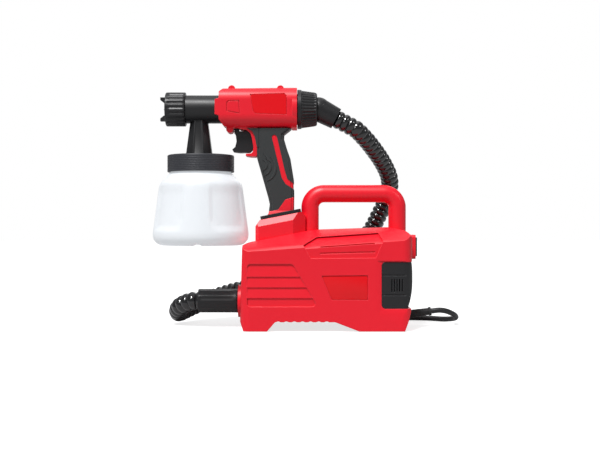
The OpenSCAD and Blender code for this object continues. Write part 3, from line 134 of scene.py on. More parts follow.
@dataclass
class Effect:
    """A shared shader effect: one node group with named inputs and one output.

    Args:
        name: Name of the group.
        inputs: Default of each input beside the Vector; a colour's has four parts.
        output: Name and kind of the output.
    """

    name: str
    inputs: Mapping[str, float | tuple[float, ...]]
    output: tuple[str, Socket]
    tree: Tree = field(init=False)
    source: bpy.types.Node = field(init=False)

    def __post_init__(self) -> None:
        """Makes the empty group with its sockets."""
        self.tree = bpy.data.node_groups.new(self.name, "ShaderNodeTree")
        self._socket("Vector", Socket.VECTOR, "INPUT")
        for name, default in self.inputs.items():
            kind = Socket.COLOUR if isinstance(default, tuple) else Socket.VALUE
            self._socket(name, kind, "INPUT").default_value = default
        self._socket(*self.output, "OUTPUT")
        self.source = self.tree.nodes.new("NodeGroupInput")

    def _socket(self, name: str, kind: Socket, way: str) -> bpy.types.NodeTreeInterfaceSocket:
        """Adds a socket to the group's outside."""
        return self.tree.interface.new_socket(name, in_out=way, socket_type=kind.value)

    def __getitem__(self, name: str) -> Link:
        """The named input, as a socket to join from."""
        return self.source.outputs[name]

    def math(self, how: str, a: Link | float, b: Link | float, clamp: bool = False) -> Link:
        """Adds a Math node.

        Args:
            how: Operation of the node.
            a: Socket or number of the first input.
            b: Socket or number of the second input.
            clamp: Whether the result is kept between 0 and 1.

        Returns:
            The node's output.
        """
        return feed(self.tree, "ShaderNodeMath", {0: a, 1: b}, operation=how, use_clamp=clamp).outputs[0]

    def noise(self, scale: Link | float, detail: float, vector: Link | None = None) -> Link:
        """Adds a noise texture.

        Args:
            scale: Socket or number of the noise's scale.
            detail: Octaves of the noise.
            vector: Other coordinates than the group's own.

        Returns:
            The noise value.
        """
        values = {"Detail": detail, "Vector": vector or self["Vector"], "Scale": scale}
        return feed(self.tree, "ShaderNodeTexNoise", values).outputs[0]

    def stretched(self, by: Point3) -> Link:
        """The group's coordinates, multiplied along each axis."""
        return feed(self.tree, "ShaderNodeVectorMath", {0: self["Vector"], 1: by}, operation="MULTIPLY").outputs[0]

    def done(self, result: Link) -> Tree:
        """Joins the result to the group's output and returns the group."""
        feed(self.tree, "NodeGroupOutput", {self.output[0]: result})
        return self.tree


class Effects:
    """The shared effects, each built once and placed in the materials with its own values."""

    def __init__(self) -> None:
        """Builds every group."""
        self.grain, self.tone, self.gloss = self._grain(), self._tone(), self._gloss()
        self.wear, self.brushed = self._wear(), self._brushed()

    @staticmethod
    def _grain() -> Tree:
        """Fine moulded texture for a bump: small cells with a little slow unevenness."""
        made = Effect("moulded grain", {"Scale": 1500.0, "Unevenness": 0.3}, ("Height", Socket.VALUE))
        cells = feed(made.tree, "ShaderNodeTexVoronoi", {"Vector": made["Vector"], "Scale": made["Scale"]})
        slow = made.noise(made.math("MULTIPLY", made["Scale"], 0.06), 3.0)
        part = made.math("MULTIPLY", slow, made["Unevenness"])
        return made.done(made.math("ADD", made.math("MULTIPLY", cells.outputs["Distance"], 0.7), part))

    @staticmethod
    def _tone() -> Tree:
        """Base colour whose brightness drifts a little over the surface, as moulded plastic's does."""
        made = Effect("tone drift", {"Colour": GREY, "Scale": 12.0, "Drift": 0.1}, ("Colour", Socket.COLOUR))
        slow = made.noise(made["Scale"], 4.0)
        fine = made.noise(made.math("MULTIPLY", made["Scale"], 14.0), 2.0)
        both = made.math("ADD", made.math("MULTIPLY", slow, 1.4), made.math("MULTIPLY", fine, 0.6))
        swing = made.math("MULTIPLY", made.math("SUBTRACT", both, 1.0), made["Drift"])
        values = {"Value": made.math("ADD", swing, 1.0), "Color": made["Colour"]}
        return made.done(feed(made.tree, "ShaderNodeHueSaturation", values).outputs["Color"])

    @staticmethod
    def _gloss() -> Tree:
        """Roughness with soft patches from handling and fine rubbed lines."""
        made = Effect("gloss drift", {"Base": 0.4, "Spread": 0.1, "Scale": 30.0}, ("Roughness", Socket.VALUE))
        patches = made.noise(made["Scale"], 5.0)
        lines = made.noise(60.0, 2.0, made.stretched((1.0, 9.0, 9.0)))
        both = made.math("ADD", patches, made.math("MULTIPLY", lines, 0.35))
        swing = made.math("MULTIPLY", made.math("SUBTRACT", both, 0.67), made["Spread"])
        return made.done(made.math("ADD", made["Base"], swing, True))

    @staticmethod
    def _wear() -> Tree:
        """Base colour that turns paler on edges as a painted highlight, broken up so that the painted highlight isn't
        even.
        """
        values = {"Flatness": 1.0, "Colour": GREY, "Worn": GREY, "Amount": 0.5}
        made = Effect("painted edge highlight", values, ("Colour", Socket.COLOUR))
        # Painted highlight mask: strongest where the rounded normal leaves the flat one.
        edge = made.math("MULTIPLY", made.math("SUBTRACT", 0.985, made["Flatness"]), 9.0, True)
        broken = made.math("MULTIPLY", edge, made.math("ADD", made.noise(90.0, 4.0), 0.25, True))
        mix = {0: made.math("MULTIPLY", broken, made["Amount"], True), 6: made["Colour"], 7: made["Worn"]}
        return made.done(feed(made.tree, "ShaderNodeMix", mix, data_type="RGBA").outputs[2])

    @staticmethod
    def _brushed() -> Tree:
        """Fine lines for a bump, from turning, brushing or winding, square to the vector's X axis."""
        made = Effect("drawn lines", {"Scale": 400.0}, ("Height", Socket.VALUE))
        return made.done(made.noise(made["Scale"], 3.0, made.stretched((12.0, 0.6, 0.6))))


# ---- Finishes


@dataclass(frozen=True)
class Finish:
    """One material: its colour and gloss, the texture moulded in it, and the painted highlight on its edges.

    Args:
        name: Name of the material, in a maker's words.
        colour: Display colour, 0 to 255.
        gloss: Mean roughness, and how far it swings.
        drift: How far the colour's brightness swings.
        grain: Size of the texture's cells and their depth, in millimetres.
        edge: Radius over which edges are shown rounded, in millimetres.
        painted_highlight: Display colour of the painted highlight on edges, and how strongly they show it.
        lines: For drawn lines instead of cells, the axis x or y that they are square to.
        more: Other constant inputs of the shader, by their names.
    """

    name: str
    colour: Point3
    gloss: Point2
    drift: float = 0.05
    grain: Point2 = (0.5, 0.01)
    edge: float = 0.3
    # Pale edge colour and its strength: a painted highlight on rounded edges.
    painted_highlight: tuple[Point3, float] | None = None
    lines: str = ""
    more: Mapping[str, float] = field(default_factory=dict)

    def build(self, effects: Effects) -> bpy.types.Material:
        """Makes the material.

        Args:
            effects: The shared node groups.

        Returns:
            The material, ready for a piece.
        """
        made = bpy.data.materials.new(self.name)
        made.use_nodes = True
        tree = made.node_tree
        place = feed(tree, "ShaderNodeTexCoord").outputs["Object"]
        bevel = feed(tree, "ShaderNodeBevel", {"Radius": self.edge * MM}, samples=6).outputs["Normal"]
        gloss = dict(zip(("Base", "Spread"), self.gloss))
        feed(tree, tree.nodes["Principled BSDF"], {
            "Base Color": self._colour(tree, effects, place, bevel),
            "Roughness": self._group(tree, effects.gloss, place, gloss),
            "Normal": self._bump(tree, effects, place, bevel),
            "Coat Roughness": 0.1,
            "Subsurface Radius": (1.0, 1.0, 1.0),
            "Subsurface Scale": 0.004,
            # Emission Color is the finish's own colour; only the cup sets an Emission Strength, for its painted glow.
            "Emission Color": linear(self.colour),
            **self.more,
        })
        return made

    def _colour(self, tree: Tree, effects: Effects, place: Link, bevel: Link) -> Link:
        """The drifting colour, with a painted highlight that makes it paler where the rounded normal leaves the flat
        one.
        """
        base = {"Colour": linear(self.colour), "Drift": self.drift}
        colour = self._group(tree, effects.tone, place, base)
        if not self.painted_highlight:
            return colour
        # Mixes in the painted highlight on rounded edges.
        flat = feed(tree, "ShaderNodeNewGeometry").outputs["Normal"]
        flatness = feed(tree, "ShaderNodeVectorMath", {0: bevel, 1: flat}, operation="DOT_PRODUCT").outputs["Value"]
        paler, amount = self.painted_highlight
        painted_highlight = {"Worn": linear(paler), "Amount": amount, "Flatness": flatness, "Colour": colour}
        return self._group(tree, effects.wear, place, painted_highlight)

    def _bump(self, tree: Tree, effects: Effects, place: Link, bevel: Link) -> Link:
        """The moulded cells or drawn lines as a bump on the rounded edges."""
        size, depth = self.grain
        per_metre = 1.0 / (size * MM)
        if not self.lines:
            height = self._group(tree, effects.grain, place, {"Scale": per_metre})
        else:
            if self.lines == "y":
                turn = {"Vector": place, "Rotation": (0.0, 0.0, math.pi / 2)}
                place = feed(tree, "ShaderNodeMapping", turn).outputs["Vector"]
            height = self._group(tree, effects.brushed, place, {"Scale": per_metre / 12})
        values = {"Strength": 1.0, "Distance": depth * MM, "Height": height, "Normal": bevel}
        return feed(tree, "ShaderNodeBump", values).outputs["Normal"]

    @staticmethod
    def _group(tree: Tree, group: Tree, place: Link, values: Mapping[str, object]) -> Link:
        """Places a shared effect in a material with its own values, and returns its output."""
        return feed(tree, "ShaderNodeGroup", {"Vector": place, **values}, node_tree=group).outputs[0]


METAL = {"Metallic": 1.0}


class Slot(Enum):
    """The record's material slots, each with the finish that it has here."""

    # A finish's pale edge colour is a painted highlight on its rounded edges.
    RED = "red_shell", Finish(
        "satin red shell", (226, 12, 36), (0.4, 0.1), grain=(0.55, 0.012), edge=0.7, painted_highlight=((255, 84, 98), 0.7),
    )
    DARK = "dark_plastic", Finish(
        "fine textured black", (25, 25, 27), (0.4, 0.12), drift=0.12, grain=(0.5, 0.014), edge=0.5,
        painted_highlight=((92, 92, 96), 0.7),
    )
    LID = "lid_plastic", Finish(
        "dark grey lid plastic", (48, 49, 54), (0.44, 0.1), drift=0.08, grain=(0.45, 0.01), edge=0.5,
        painted_highlight=((112, 113, 118), 0.5),
    )
    GRIP = "grip_rubber", Finish(
        "soft touch grip rubber", (32, 36, 37), (0.62, 0.14), drift=0.12, grain=(0.7, 0.02), edge=1.0,
        painted_highlight=((82, 86, 88), 0.5), more={"Sheen Weight": 0.25},
    )
    SEAL = "seal_rubber", Finish(
        "matt seal rubber", (30, 30, 31), (0.7, 0.1), drift=0.12, grain=(0.4, 0.015), edge=0.5,
        painted_highlight=((58, 58, 60), 0.4), more={"Sheen Weight": 0.15},
    )
    HOSE = "hose_plastic", Finish(
        "glossy hose plastic", (12, 12, 14), (0.2, 0.06), drift=0.15, grain=(1.2, 0.005), more={"Coat Weight": 1.0},
    )
    LEAD = "lead_pvc", Finish("matt lead jacket", (28, 28, 30), (0.5, 0.12), drift=0.12, grain=(0.4, 0.012))
    CUP = "cup_plastic", Finish(
        "milky cup plastic with painted glow", (184, 187, 190), (0.38, 0.06), drift=0.02, grain=(0.8, 0.006), edge=0.6,
        # Emission Strength makes the cup glow in its own colour: a painted glow that stands in for light passing
        # through the wall.
        more={"Subsurface Weight": 0.5, "Emission Strength": 0.72, "Specular IOR Level": 0.3},
    )
    TUBE = "clear_tube", Finish(
        "natural tube plastic", (226, 230, 232), (0.34, 0.08), drift=0.04, grain=(0.8, 0.006),
        more={"Subsurface Weight": 0.4},
    )
    LIGHT_METAL = "light_metal", Finish(
        "cast light metal", (196, 198, 202), (0.42, 0.14), drift=0.1, grain=(0.6, 0.02), edge=0.4,
        painted_highlight=((226, 227, 230), 0.4), more=METAL,
    )
    STEEL = "steel", Finish(
        "plain steel", (168, 170, 174), (0.36, 0.12), drift=0.1, grain=(0.15, 0.004), edge=0.2, lines="x",
        more=METAL,
    )
    BRIGHT = "bright_steel", Finish(
        "polished steel", (202, 204, 207), (0.16, 0.06), grain=(0.15, 0.002), edge=0.15, lines="x", more=METAL,
    )
    BRASS = "brass", Finish(
        "turned brass", (206, 172, 96), (0.28, 0.1), drift=0.08, grain=(0.15, 0.004), edge=0.2, lines="x",
        more=METAL,
    )
    WINDING = "winding", Finish(
        "enamelled copper wire", (182, 98, 52), (0.3, 0.1), drift=0.2, grain=(0.7, 0.12), edge=0.4, lines="y",
        more={"Metallic": 0.7},
    )
    CARBON = "carbon", Finish("pressed carbon", (34, 34, 36), (0.58, 0.12), drift=0.2, grain=(0.25, 0.02), edge=0.2)
    FOAM = "foam", Finish(
        "open cell foam", (84, 86, 90), (0.9, 0.08), drift=0.35, grain=(1.3, 0.6), edge=0.6,
        more={"Sheen Weight": 0.3},
    )
    BLOCK = "block_plastic", Finish("off white terminal plastic", (226, 225, 218), (0.42, 0.08), grain=(0.5, 0.008))
    PTFE = "ptfe", Finish(
        "white low friction plastic", (240, 240, 236), (0.32, 0.06), drift=0.03, grain=(0.5, 0.004), edge=0.2,
    )
    BRUSH = "brush_plastic", Finish("brown moulded resin", (148, 112, 62), (0.44, 0.1), drift=0.16, grain=(0.4, 0.01))

    def __init__(self, label: str, finish: Finish) -> None:
        """Keeps the slot's name in the record and its finish."""
        self.label = label
        self.finish = finish


LABEL_FINISH = Finish(
    "glossy red label", (222, 4, 18), (0.3, 0.06), drift=0.04, grain=(1.5, 0.004), edge=0.4,
    more={"Coat Weight": 0.15, "Coat Roughness": 0.15, "Specular IOR Level": 0.35},
)


class Paintbox:
    """Keeps each finish's material, built once."""

    def __init__(self) -> None:
        """Builds the shared effects, every slot's material and the label's."""
        effects = Effects()
        self.by_slot = {slot: slot.finish.build(effects) for slot in Slot}
        self.label = LABEL_FINISH.build(effects)


# ---- Shapes


class Shape:
    """A mesh in the making, in millimetres, shaped with bmesh operators."""

    def __init__(self) -> None:
        """Starts empty."""
        self.bm = bmesh.new()

    def since(self, known: set[Vert]) -> list[Vert]:
        """Vertices that aren't among the known ones."""
        return [v for v in self.bm.verts if v not in known]

    def turn(
        self, profile: Iterable[Point2], steps: int, place: Matrix | None = None, ring: bool = False
    ) -> list[Vert]:
        """Spins a profile round the Z axis.

        Args:
            profile: Points of the profile as (radius, height).
            steps: Steps of the full turn.
            place: Where the turned shape goes.
            ring: Whether the profile is closed on itself.

        Returns:
            The new vertices.
        """
        known = set(self.bm.verts)
        line = [self.bm.verts.new((r, 0.0, z)) for r, z in profile]
        pairs = list(zip(line, line[1:])) + ([(line[-1], line[0])] if ring else [])
        edges = [self.bm.edges.new(pair) for pair in pairs]
        bmesh.ops.spin(
            self.bm, geom=[*line, *edges], cent=(0, 0, 0), axis=(0, 0, 1), angle=2 * math.pi, steps=steps,
            use_merge=True,
        )
        poles = [v for v in self.since(known) if math.hypot(v.co.x, v.co.y) < 1e-4]
        bmesh.ops.remove_doubles(self.bm, verts=poles, dist=1e-3)
        made = self.since(known)
        if place is not None:
            bmesh.ops.transform(self.bm, matrix=place, verts=made)
        return made

    def slab(self, outline: Sequence[Point2], y0: float, y1: float) -> None:
        """Extrudes an outline in X and Z along Y.

        Args:
            outline: Points as (x, z).
            y0: One face's place.
            y1: The other face's place.
        """
        face = self.bm.faces.new([self.bm.verts.new((x, y0, z)) for x, z in outline])
        out = bmesh.ops.extrude_face_region(self.bm, geom=[face])["geom"]
        moved = [g for g in out if isinstance(g, Vert)]
        bmesh.ops.translate(self.bm, verts=moved, vec=(0, y1 - y0, 0))

    def cone(self, sides: int, r0: float, r1: float, height: float, place: Matrix) -> None:
        """Adds a cone or prism that stands on its place's XY plane."""
        bmesh.ops.create_cone(
            self.bm, cap_ends=True, segments=sides, radius1=r0, radius2=r1, depth=height,
            matrix=place @ Matrix.Translation((0, 0, height / 2)),
        )

    def soften(self, width: float, segments: int, chosen: Callable[[Edge], bool] | None = None) -> None:
        """Bevels the sharp edges, or those chosen.

        Args:
            width: Width of the bevel.
            segments: Steps across it.
            chosen: Test that an edge has to pass.
        """
        edges = [e for e in self.bm.edges if (chosen(e) if chosen else e.calc_face_angle(0.0) > 0.5)]
        bmesh.ops.bevel(
            self.bm, geom=edges, offset=width, offset_type="OFFSET", segments=segments, profile=0.5,
            affect="EDGES", clamp_overlap=True, material=-1,
        )

    def copy_of(self, node: str) -> Shape:
        """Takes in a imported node's mesh, its loose triangles welded."""
        self.bm.from_mesh(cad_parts[node].data)
        bmesh.ops.remove_doubles(self.bm, verts=self.bm.verts, dist=4e-6)
        bmesh.ops.dissolve_degenerate(self.bm, edges=self.bm.edges, dist=1e-7)
        bmesh.ops.scale(self.bm, vec=(1 / MM,) * 3, verts=self.bm.verts)
        return self

    def piece(
        self, name: str, paint: Paintbox, slot: Slot, body: str | None, stands_for: Sequence[str] = (),
        crease: float = 35.0, packed: bool = False, material: bpy.types.Material | None = None,
    ) -> bpy.types.Object:
        """Finishes the mesh in metres and makes it a piece.

        Args:
            name: Name of the piece.
            paint: The finishes.
            slot: The record's slot of its finish.
            body: Body that it rides on, or None where it blends between two.
            stands_for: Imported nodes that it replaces.
            crease: Angle in degrees above which an edge stays sharp.
            packed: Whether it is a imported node's mesh, which already faces outwards.
            material: Another material than the slot's own.

        Returns:
            The new object.
        """
        if not packed:
            bmesh.ops.recalc_face_normals(self.bm, faces=self.bm.faces)
        bmesh.ops.scale(self.bm, vec=(MM,) * 3, verts=self.bm.verts)
        mesh = bpy.data.meshes.new(name)
        self.bm.to_mesh(mesh)
        self.bm.free()
        mesh.shade_smooth()
        if packed:
            mesh.normals_split_custom_set(even_normals(mesh, crease))
        else:
            mesh.set_sharp_from_angle(angle=math.radians(crease))
        mesh.materials.append(material or paint.by_slot[slot])
        made = add_object(name, mesh)
        if stands_for:
            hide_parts(*stands_for)
        if body:
            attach(made, body)
        LOG.info("%s: %d faces", name, len(mesh.polygons))
        return made


def even_normals(mesh: bpy.types.Mesh, crease: float) -> list[Vector]:
    """Corner normals that keep large flat faces flat, whatever slivers lie between them.

    Args:
        mesh: The mesh.
        crease: Angle in degrees up to which a face beside a corner counts as the same surface.

    Returns:
        One normal for each face corner: the mean over that surface's faces, weighted by area.
    """
    limit = math.cos(math.radians(crease))
    around: list[list[tuple[Vector, float]]] = [[] for _ in mesh.vertices]
    for face in mesh.polygons:
        for vertex in face.vertices:
            around[vertex].append((face.normal.copy(), face.area))
    normals = []
    for face in mesh.polygons:
        own = face.normal.copy()
        for vertex in face.vertices:
            total = sum((n * area for n, area in around[vertex] if n.dot(own) > limit), Vector())
            normals.append(total.normalized() if total.length > 0 else own)
    return normals


# ---- Routes


@dataclass
class Route:
    """A smooth line through points, straight for a run at each end.

    Args:
        points: Points that it passes, in millimetres.
        first: Direction in which it leaves.
        last: Direction in which it ends.
        run: Length of the straight run at each end.
        step: Length of the steps that it is cut into.
    """

    points: Sequence[Point3]
    first: Point3
    last: Point3
    run: float
    step: float

    def line(self) -> list[Vector]:
        """Points along the whole route, a step apart."""
        p = [Vector(q) for q in self.points]
        d0, d1 = Vector(self.first).normalized(), Vector(self.last).normalized()
        runs = round(self.run / self.step)
        made = [p[0] - (runs - k) / runs * self.run * d0 for k in range(runs)]
        for i, (b, c) in enumerate(zip(p, p[1:])):
            a = p[i - 1] if i > 0 else c - 2 * (c - b).length * d0
            d = p[i + 2] if i + 2 < len(p) else b + 2 * (c - b).length * d1
            count = max(1, round((c - b).length / self.step))
            made += [self._between(a, b, c, d, k / count) for k in range(count)]
        return made + [p[-1] + k / runs * self.run * d1 for k in range(runs + 1)]

    @staticmethod
    def _between(a: Vector, b: Vector, c: Vector, d: Vector, t: float) -> Vector:
        """Point at share t of the way from b to c, smooth with a and d beside them."""
        return 0.5 * (
            2 * b + (c - a) * t + (2 * a - 5 * b + 4 * c - d) * t * t + (3 * b - 3 * c + d - a) * t * t * t
        )


class Spine:
    """A line with a direction across it carried along without a twist, for bending a straight shape."""

    def __init__(self, line: Sequence[Vector]) -> None:
        """Works out lengths and directions along the line."""
        self.line = list(line)
        self.at = [0.0]
        for a, b in zip(self.line, self.line[1:]):
            self.at.append(self.at[-1] + (b - a).length)
        last = len(self.line) - 1
        self.ahead = [(self.line[min(i + 1, last)] - self.line[max(i - 1, 0)]).normalized() for i in range(last + 1)]
        side = self.ahead[0].cross(Vector((0.13, 1.0, 0.07))).normalized()
        self.side = []
        for ahead in self.ahead:
            side = (side - side.dot(ahead) * ahead).normalized()
            self.side.append(side)

    @property
    def length(self) -> float:
        """Length of the whole line."""
        return self.at[-1]

    def bend(self, verts: Iterable[Vert]) -> None:
        """Moves the vertices of a straight shape, whose height is the length along the line, onto the line."""
        ordered = sorted(verts, key=lambda v: v.co.z)
        i = 0
        for v in ordered:
            s = min(max(v.co.z, 0.0), self.length)
            while i < len(self.at) - 2 and self.at[i + 1] < s:
                i += 1
            t = (s - self.at[i]) / (self.at[i + 1] - self.at[i])
            spot = self.line[i].lerp(self.line[i + 1], t)
            ahead = self.ahead[i].lerp(self.ahead[i + 1], t).normalized()
            side = self.side[i].lerp(self.side[i + 1], t)
            side = (side - side.dot(ahead) * ahead).normalized()
            v.co = spot + v.co.x * side + v.co.y * ahead.cross(side) + (v.co.z - s) * ahead


# ---- Studio


@dataclass
class Studio:
    """Camera, soft lights and a plain pale floor.

    Args:
        camera_at: Place of the camera in metres.
        lens: Focal length for a 36 mm sensor.
        floor_size: Radius of the floor in metres.
        floor_gap: Room between the feet and the floor in metres.
        floor_lift: Light that the floor gives to the camera only.
        room_light: Strength of the even light from all round.
        aim_z: Height that the softboxes look at in metres.
    """

    camera_at: Point3 = (0.0199, -1.277, 0.1319)
    lens: float = 58.94
    floor_size: float = 7.0
    floor_gap: float = 0.0004
    floor_lift: float = 0.74
    room_light: float = 0.24
    aim_z: float = 0.16

    def build(self) -> None:
        """Sets up everything that isn't part of the object."""
        self._camera()
        self._floor()
        self._sky()
        self._light("high_light", (-0.42, -0.84, 1.5), 14.0, 3.5, sun=True)
        self._light("key_softbox", (-0.7, -1.1, 1.05), 0.3, 3.0)
        self._light("fill_softbox", (1.0, -0.5, 0.9), 0.26, 1.8)
        self._light("top_softbox", (0.05, 0.3, 1.3), 1.0, 2.2)
        self._light("back_softbox", (0.3, 1.6, 0.9), 1.2, 5.0)
        bpy.context.scene.view_settings.view_transform = "Standard"

    def _camera(self) -> None:
        """Places the camera level, looking along +Y."""
        data = bpy.data.cameras.new("camera")
        data.lens = self.lens
        data.sensor_width = 36.0
        data.clip_end = 50.0
        made = add_object("camera", data)
        made.location = self.camera_at
        made.rotation_euler = (math.pi / 2, 0.0, 0.0)
        bpy.context.scene.camera = made

    def _floor(self) -> None:
        """Makes a round pale floor just under the feet, brighter to the camera than to the object."""
        bm = bmesh.new()
        bmesh.ops.create_circle(bm, cap_ends=True, segments=96, radius=self.floor_size)
        bmesh.ops.translate(bm, verts=bm.verts, vec=(0, 0, -self.floor_gap))
        mesh = bpy.data.meshes.new("floor")
        bm.to_mesh(mesh)
        bm.free()
        made = bpy.data.materials.new("pale studio floor")
        made.use_nodes = True
        tree = made.node_tree
        values = {"Base Color": (0.4, 0.4, 0.404, 1.0), "Roughness": 0.85, "Specular IOR Level": 0.1}
        plain = feed(tree, tree.nodes["Principled BSDF"], values).outputs[0]
        glow = feed(tree, "ShaderNodeEmission", {"Strength": self.floor_lift}).outputs[0]
        seen = feed(tree, "ShaderNodeAddShader", {0: plain, 1: glow}).outputs[0]
        self._join(tree, plain, seen, tree.nodes["Material Output"])
        mesh.materials.append(made)
        add_object("floor", mesh)

    def _sky(self) -> None:
        """Lights the room evenly, and shows white behind the object."""
        world = bpy.data.worlds.new("studio room")
        bpy.context.scene.world = world
        world.use_nodes = True
        tree = world.node_tree
        tree.nodes.clear()
        room, white = (
            feed(tree, "ShaderNodeBackground", {"Color": colour, "Strength": strength}).outputs[0]
            for colour, strength in (((0.97, 0.98, 1.0, 1.0), self.room_light), (WHITE, 1.0))
        )
        self._join(tree, room, white, tree.nodes.new("ShaderNodeOutputWorld"))

    @staticmethod
    def _join(tree: Tree, lights: Link, seen: Link, out: bpy.types.Node) -> None:
        """Lets one shader light the object and the camera see another.

        Args:
            tree: The node tree.
            lights: Shader that lights the object.
            seen: Shader that the camera sees.
            out: The tree's output node.
        """
        ray = feed(tree, "ShaderNodeLightPath").outputs["Is Camera Ray"]
        mix = feed(tree, "ShaderNodeMixShader", {0: ray, 1: lights, 2: seen})
        feed(tree, out, {"Surface": mix.outputs[0]})

    def _light(self, name: str, at: Point3, size: float, power: float, sun: bool = False) -> None:
        """Places one square softbox that looks at the object's middle, or a broad light from far away.

        Args:
            name: Name of the light.
            at: Place of the softbox, or direction towards the far light.
            size: Width of the softbox in metres, or spread of the far light in degrees.
            power: Its watts, or the far light's strength.
            sun: Whether it is the far light.
        """
        data = bpy.data.lights.new(name, "SUN" if sun else "AREA")
        if sun:
            data.angle = math.radians(size)
        else:
            data.shape = "SQUARE"
            data.size = size
        data.energy = power
        made = add_object(name, data)
        made.location = at
        made.rotation_mode = "QUATERNION"
        aim = Vector(at) - Vector((0.0, 0.0, 0.0 if sun else self.aim_z))
        made.rotation_quaternion = aim.to_track_quat("Z", "Y")


# ---- Air hose


@dataclass
class AirHose:
    """The ribbed hose from the gun's cuff round the base's back to the outlet sleeve.

    Args:
        diameter: Over the ribs.
        root: Diameter between the ribs.
        bore: Inner diameter.
        pitch: From rib to rib.
        fullness: Power of the ribs' wave, under 1 for full round ribs.
        cuff_end: Where the cuff ends.
        cuff_bend: Where the cuff's two runs meet.
        outlet_z: Height of the outlet's centre line.
        slices: Steps along each rib.
        sides: Steps round the hose.
    """

    diameter: float = 24.0
    root: float = 20.0
    bore: float = 17.0
    pitch: float = 8.2
    fullness: float = 0.62
    cuff_end: Point3 = (67.0, 0.0, 270.0)
    cuff_bend: Point3 = (44.0, 0.0, 282.0)
    outlet_z: float = 33.5
    slices: int = 8
    sides: int = 32

    def route(self) -> Route:
        """The hose's route, as in the CAD."""
        ahead = (Vector(self.cuff_end) - Vector(self.cuff_bend)).normalized()
        start = Vector(self.cuff_end) + 0.1 * ahead
        points = [
            tuple(start + self.diameter * ahead), (104, 10, 246.5), (118, 26, 232), (131, 44, 216),
            (141, 61, 198), (143, 76, 181), (138, 87, 163), (130, 92, 146), (119, 94, 125), (102, 94, 104),
            (76, 91, 84), (42, 86, 67), (4, 82, 56), (-35, 80, 48), (-70, 78, 41), (-102, 73, 31),
            (-128, 58, 20), (-142, 36, 15), (-136, 12, 26), (-114, 0, self.outlet_z),
        ]
        return Route(points, tuple(ahead), (1, 0, 0), self.diameter, 2.0)

    def profile(self, length: float) -> list[Point2]:
        """Ribs as (radius, height) along the outside, then the bore back.

        Args:
            length: Length of the hose.

        Returns:
            The closed profile.
        """
        ribs = round(length / self.pitch)
        pitch = length / ribs
        crest, root = self.diameter / 2, self.root / 2
        outer = []
        for k in range(ribs * self.slices + 1):
            share = (k % self.slices) / self.slices
            outer.append((root + (crest - root) * math.sin(math.pi * share) ** self.fullness, k * pitch / self.slices))
        turns = ribs * 2
        inner = [(self.bore / 2, length * (turns - k) / turns) for k in range(turns + 1)]
        return outer + inner

    def build(self, paint: Paintbox) -> None:
        """Makes the hose, which bends between the base and the gun."""
        line = self.route().line()
        spine = Spine(line)
        shape = Shape()
        spine.bend(shape.turn(self.profile(spine.length), self.sides, ring=True))
        hose = shape.piece("ribbed_air_hose", paint, Slot.HOSE, None, ["air_hose"], crease=60)
        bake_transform(hose)
        LOG.info("air hose: %.1f mm", spine.length)


# ---- Mains lead


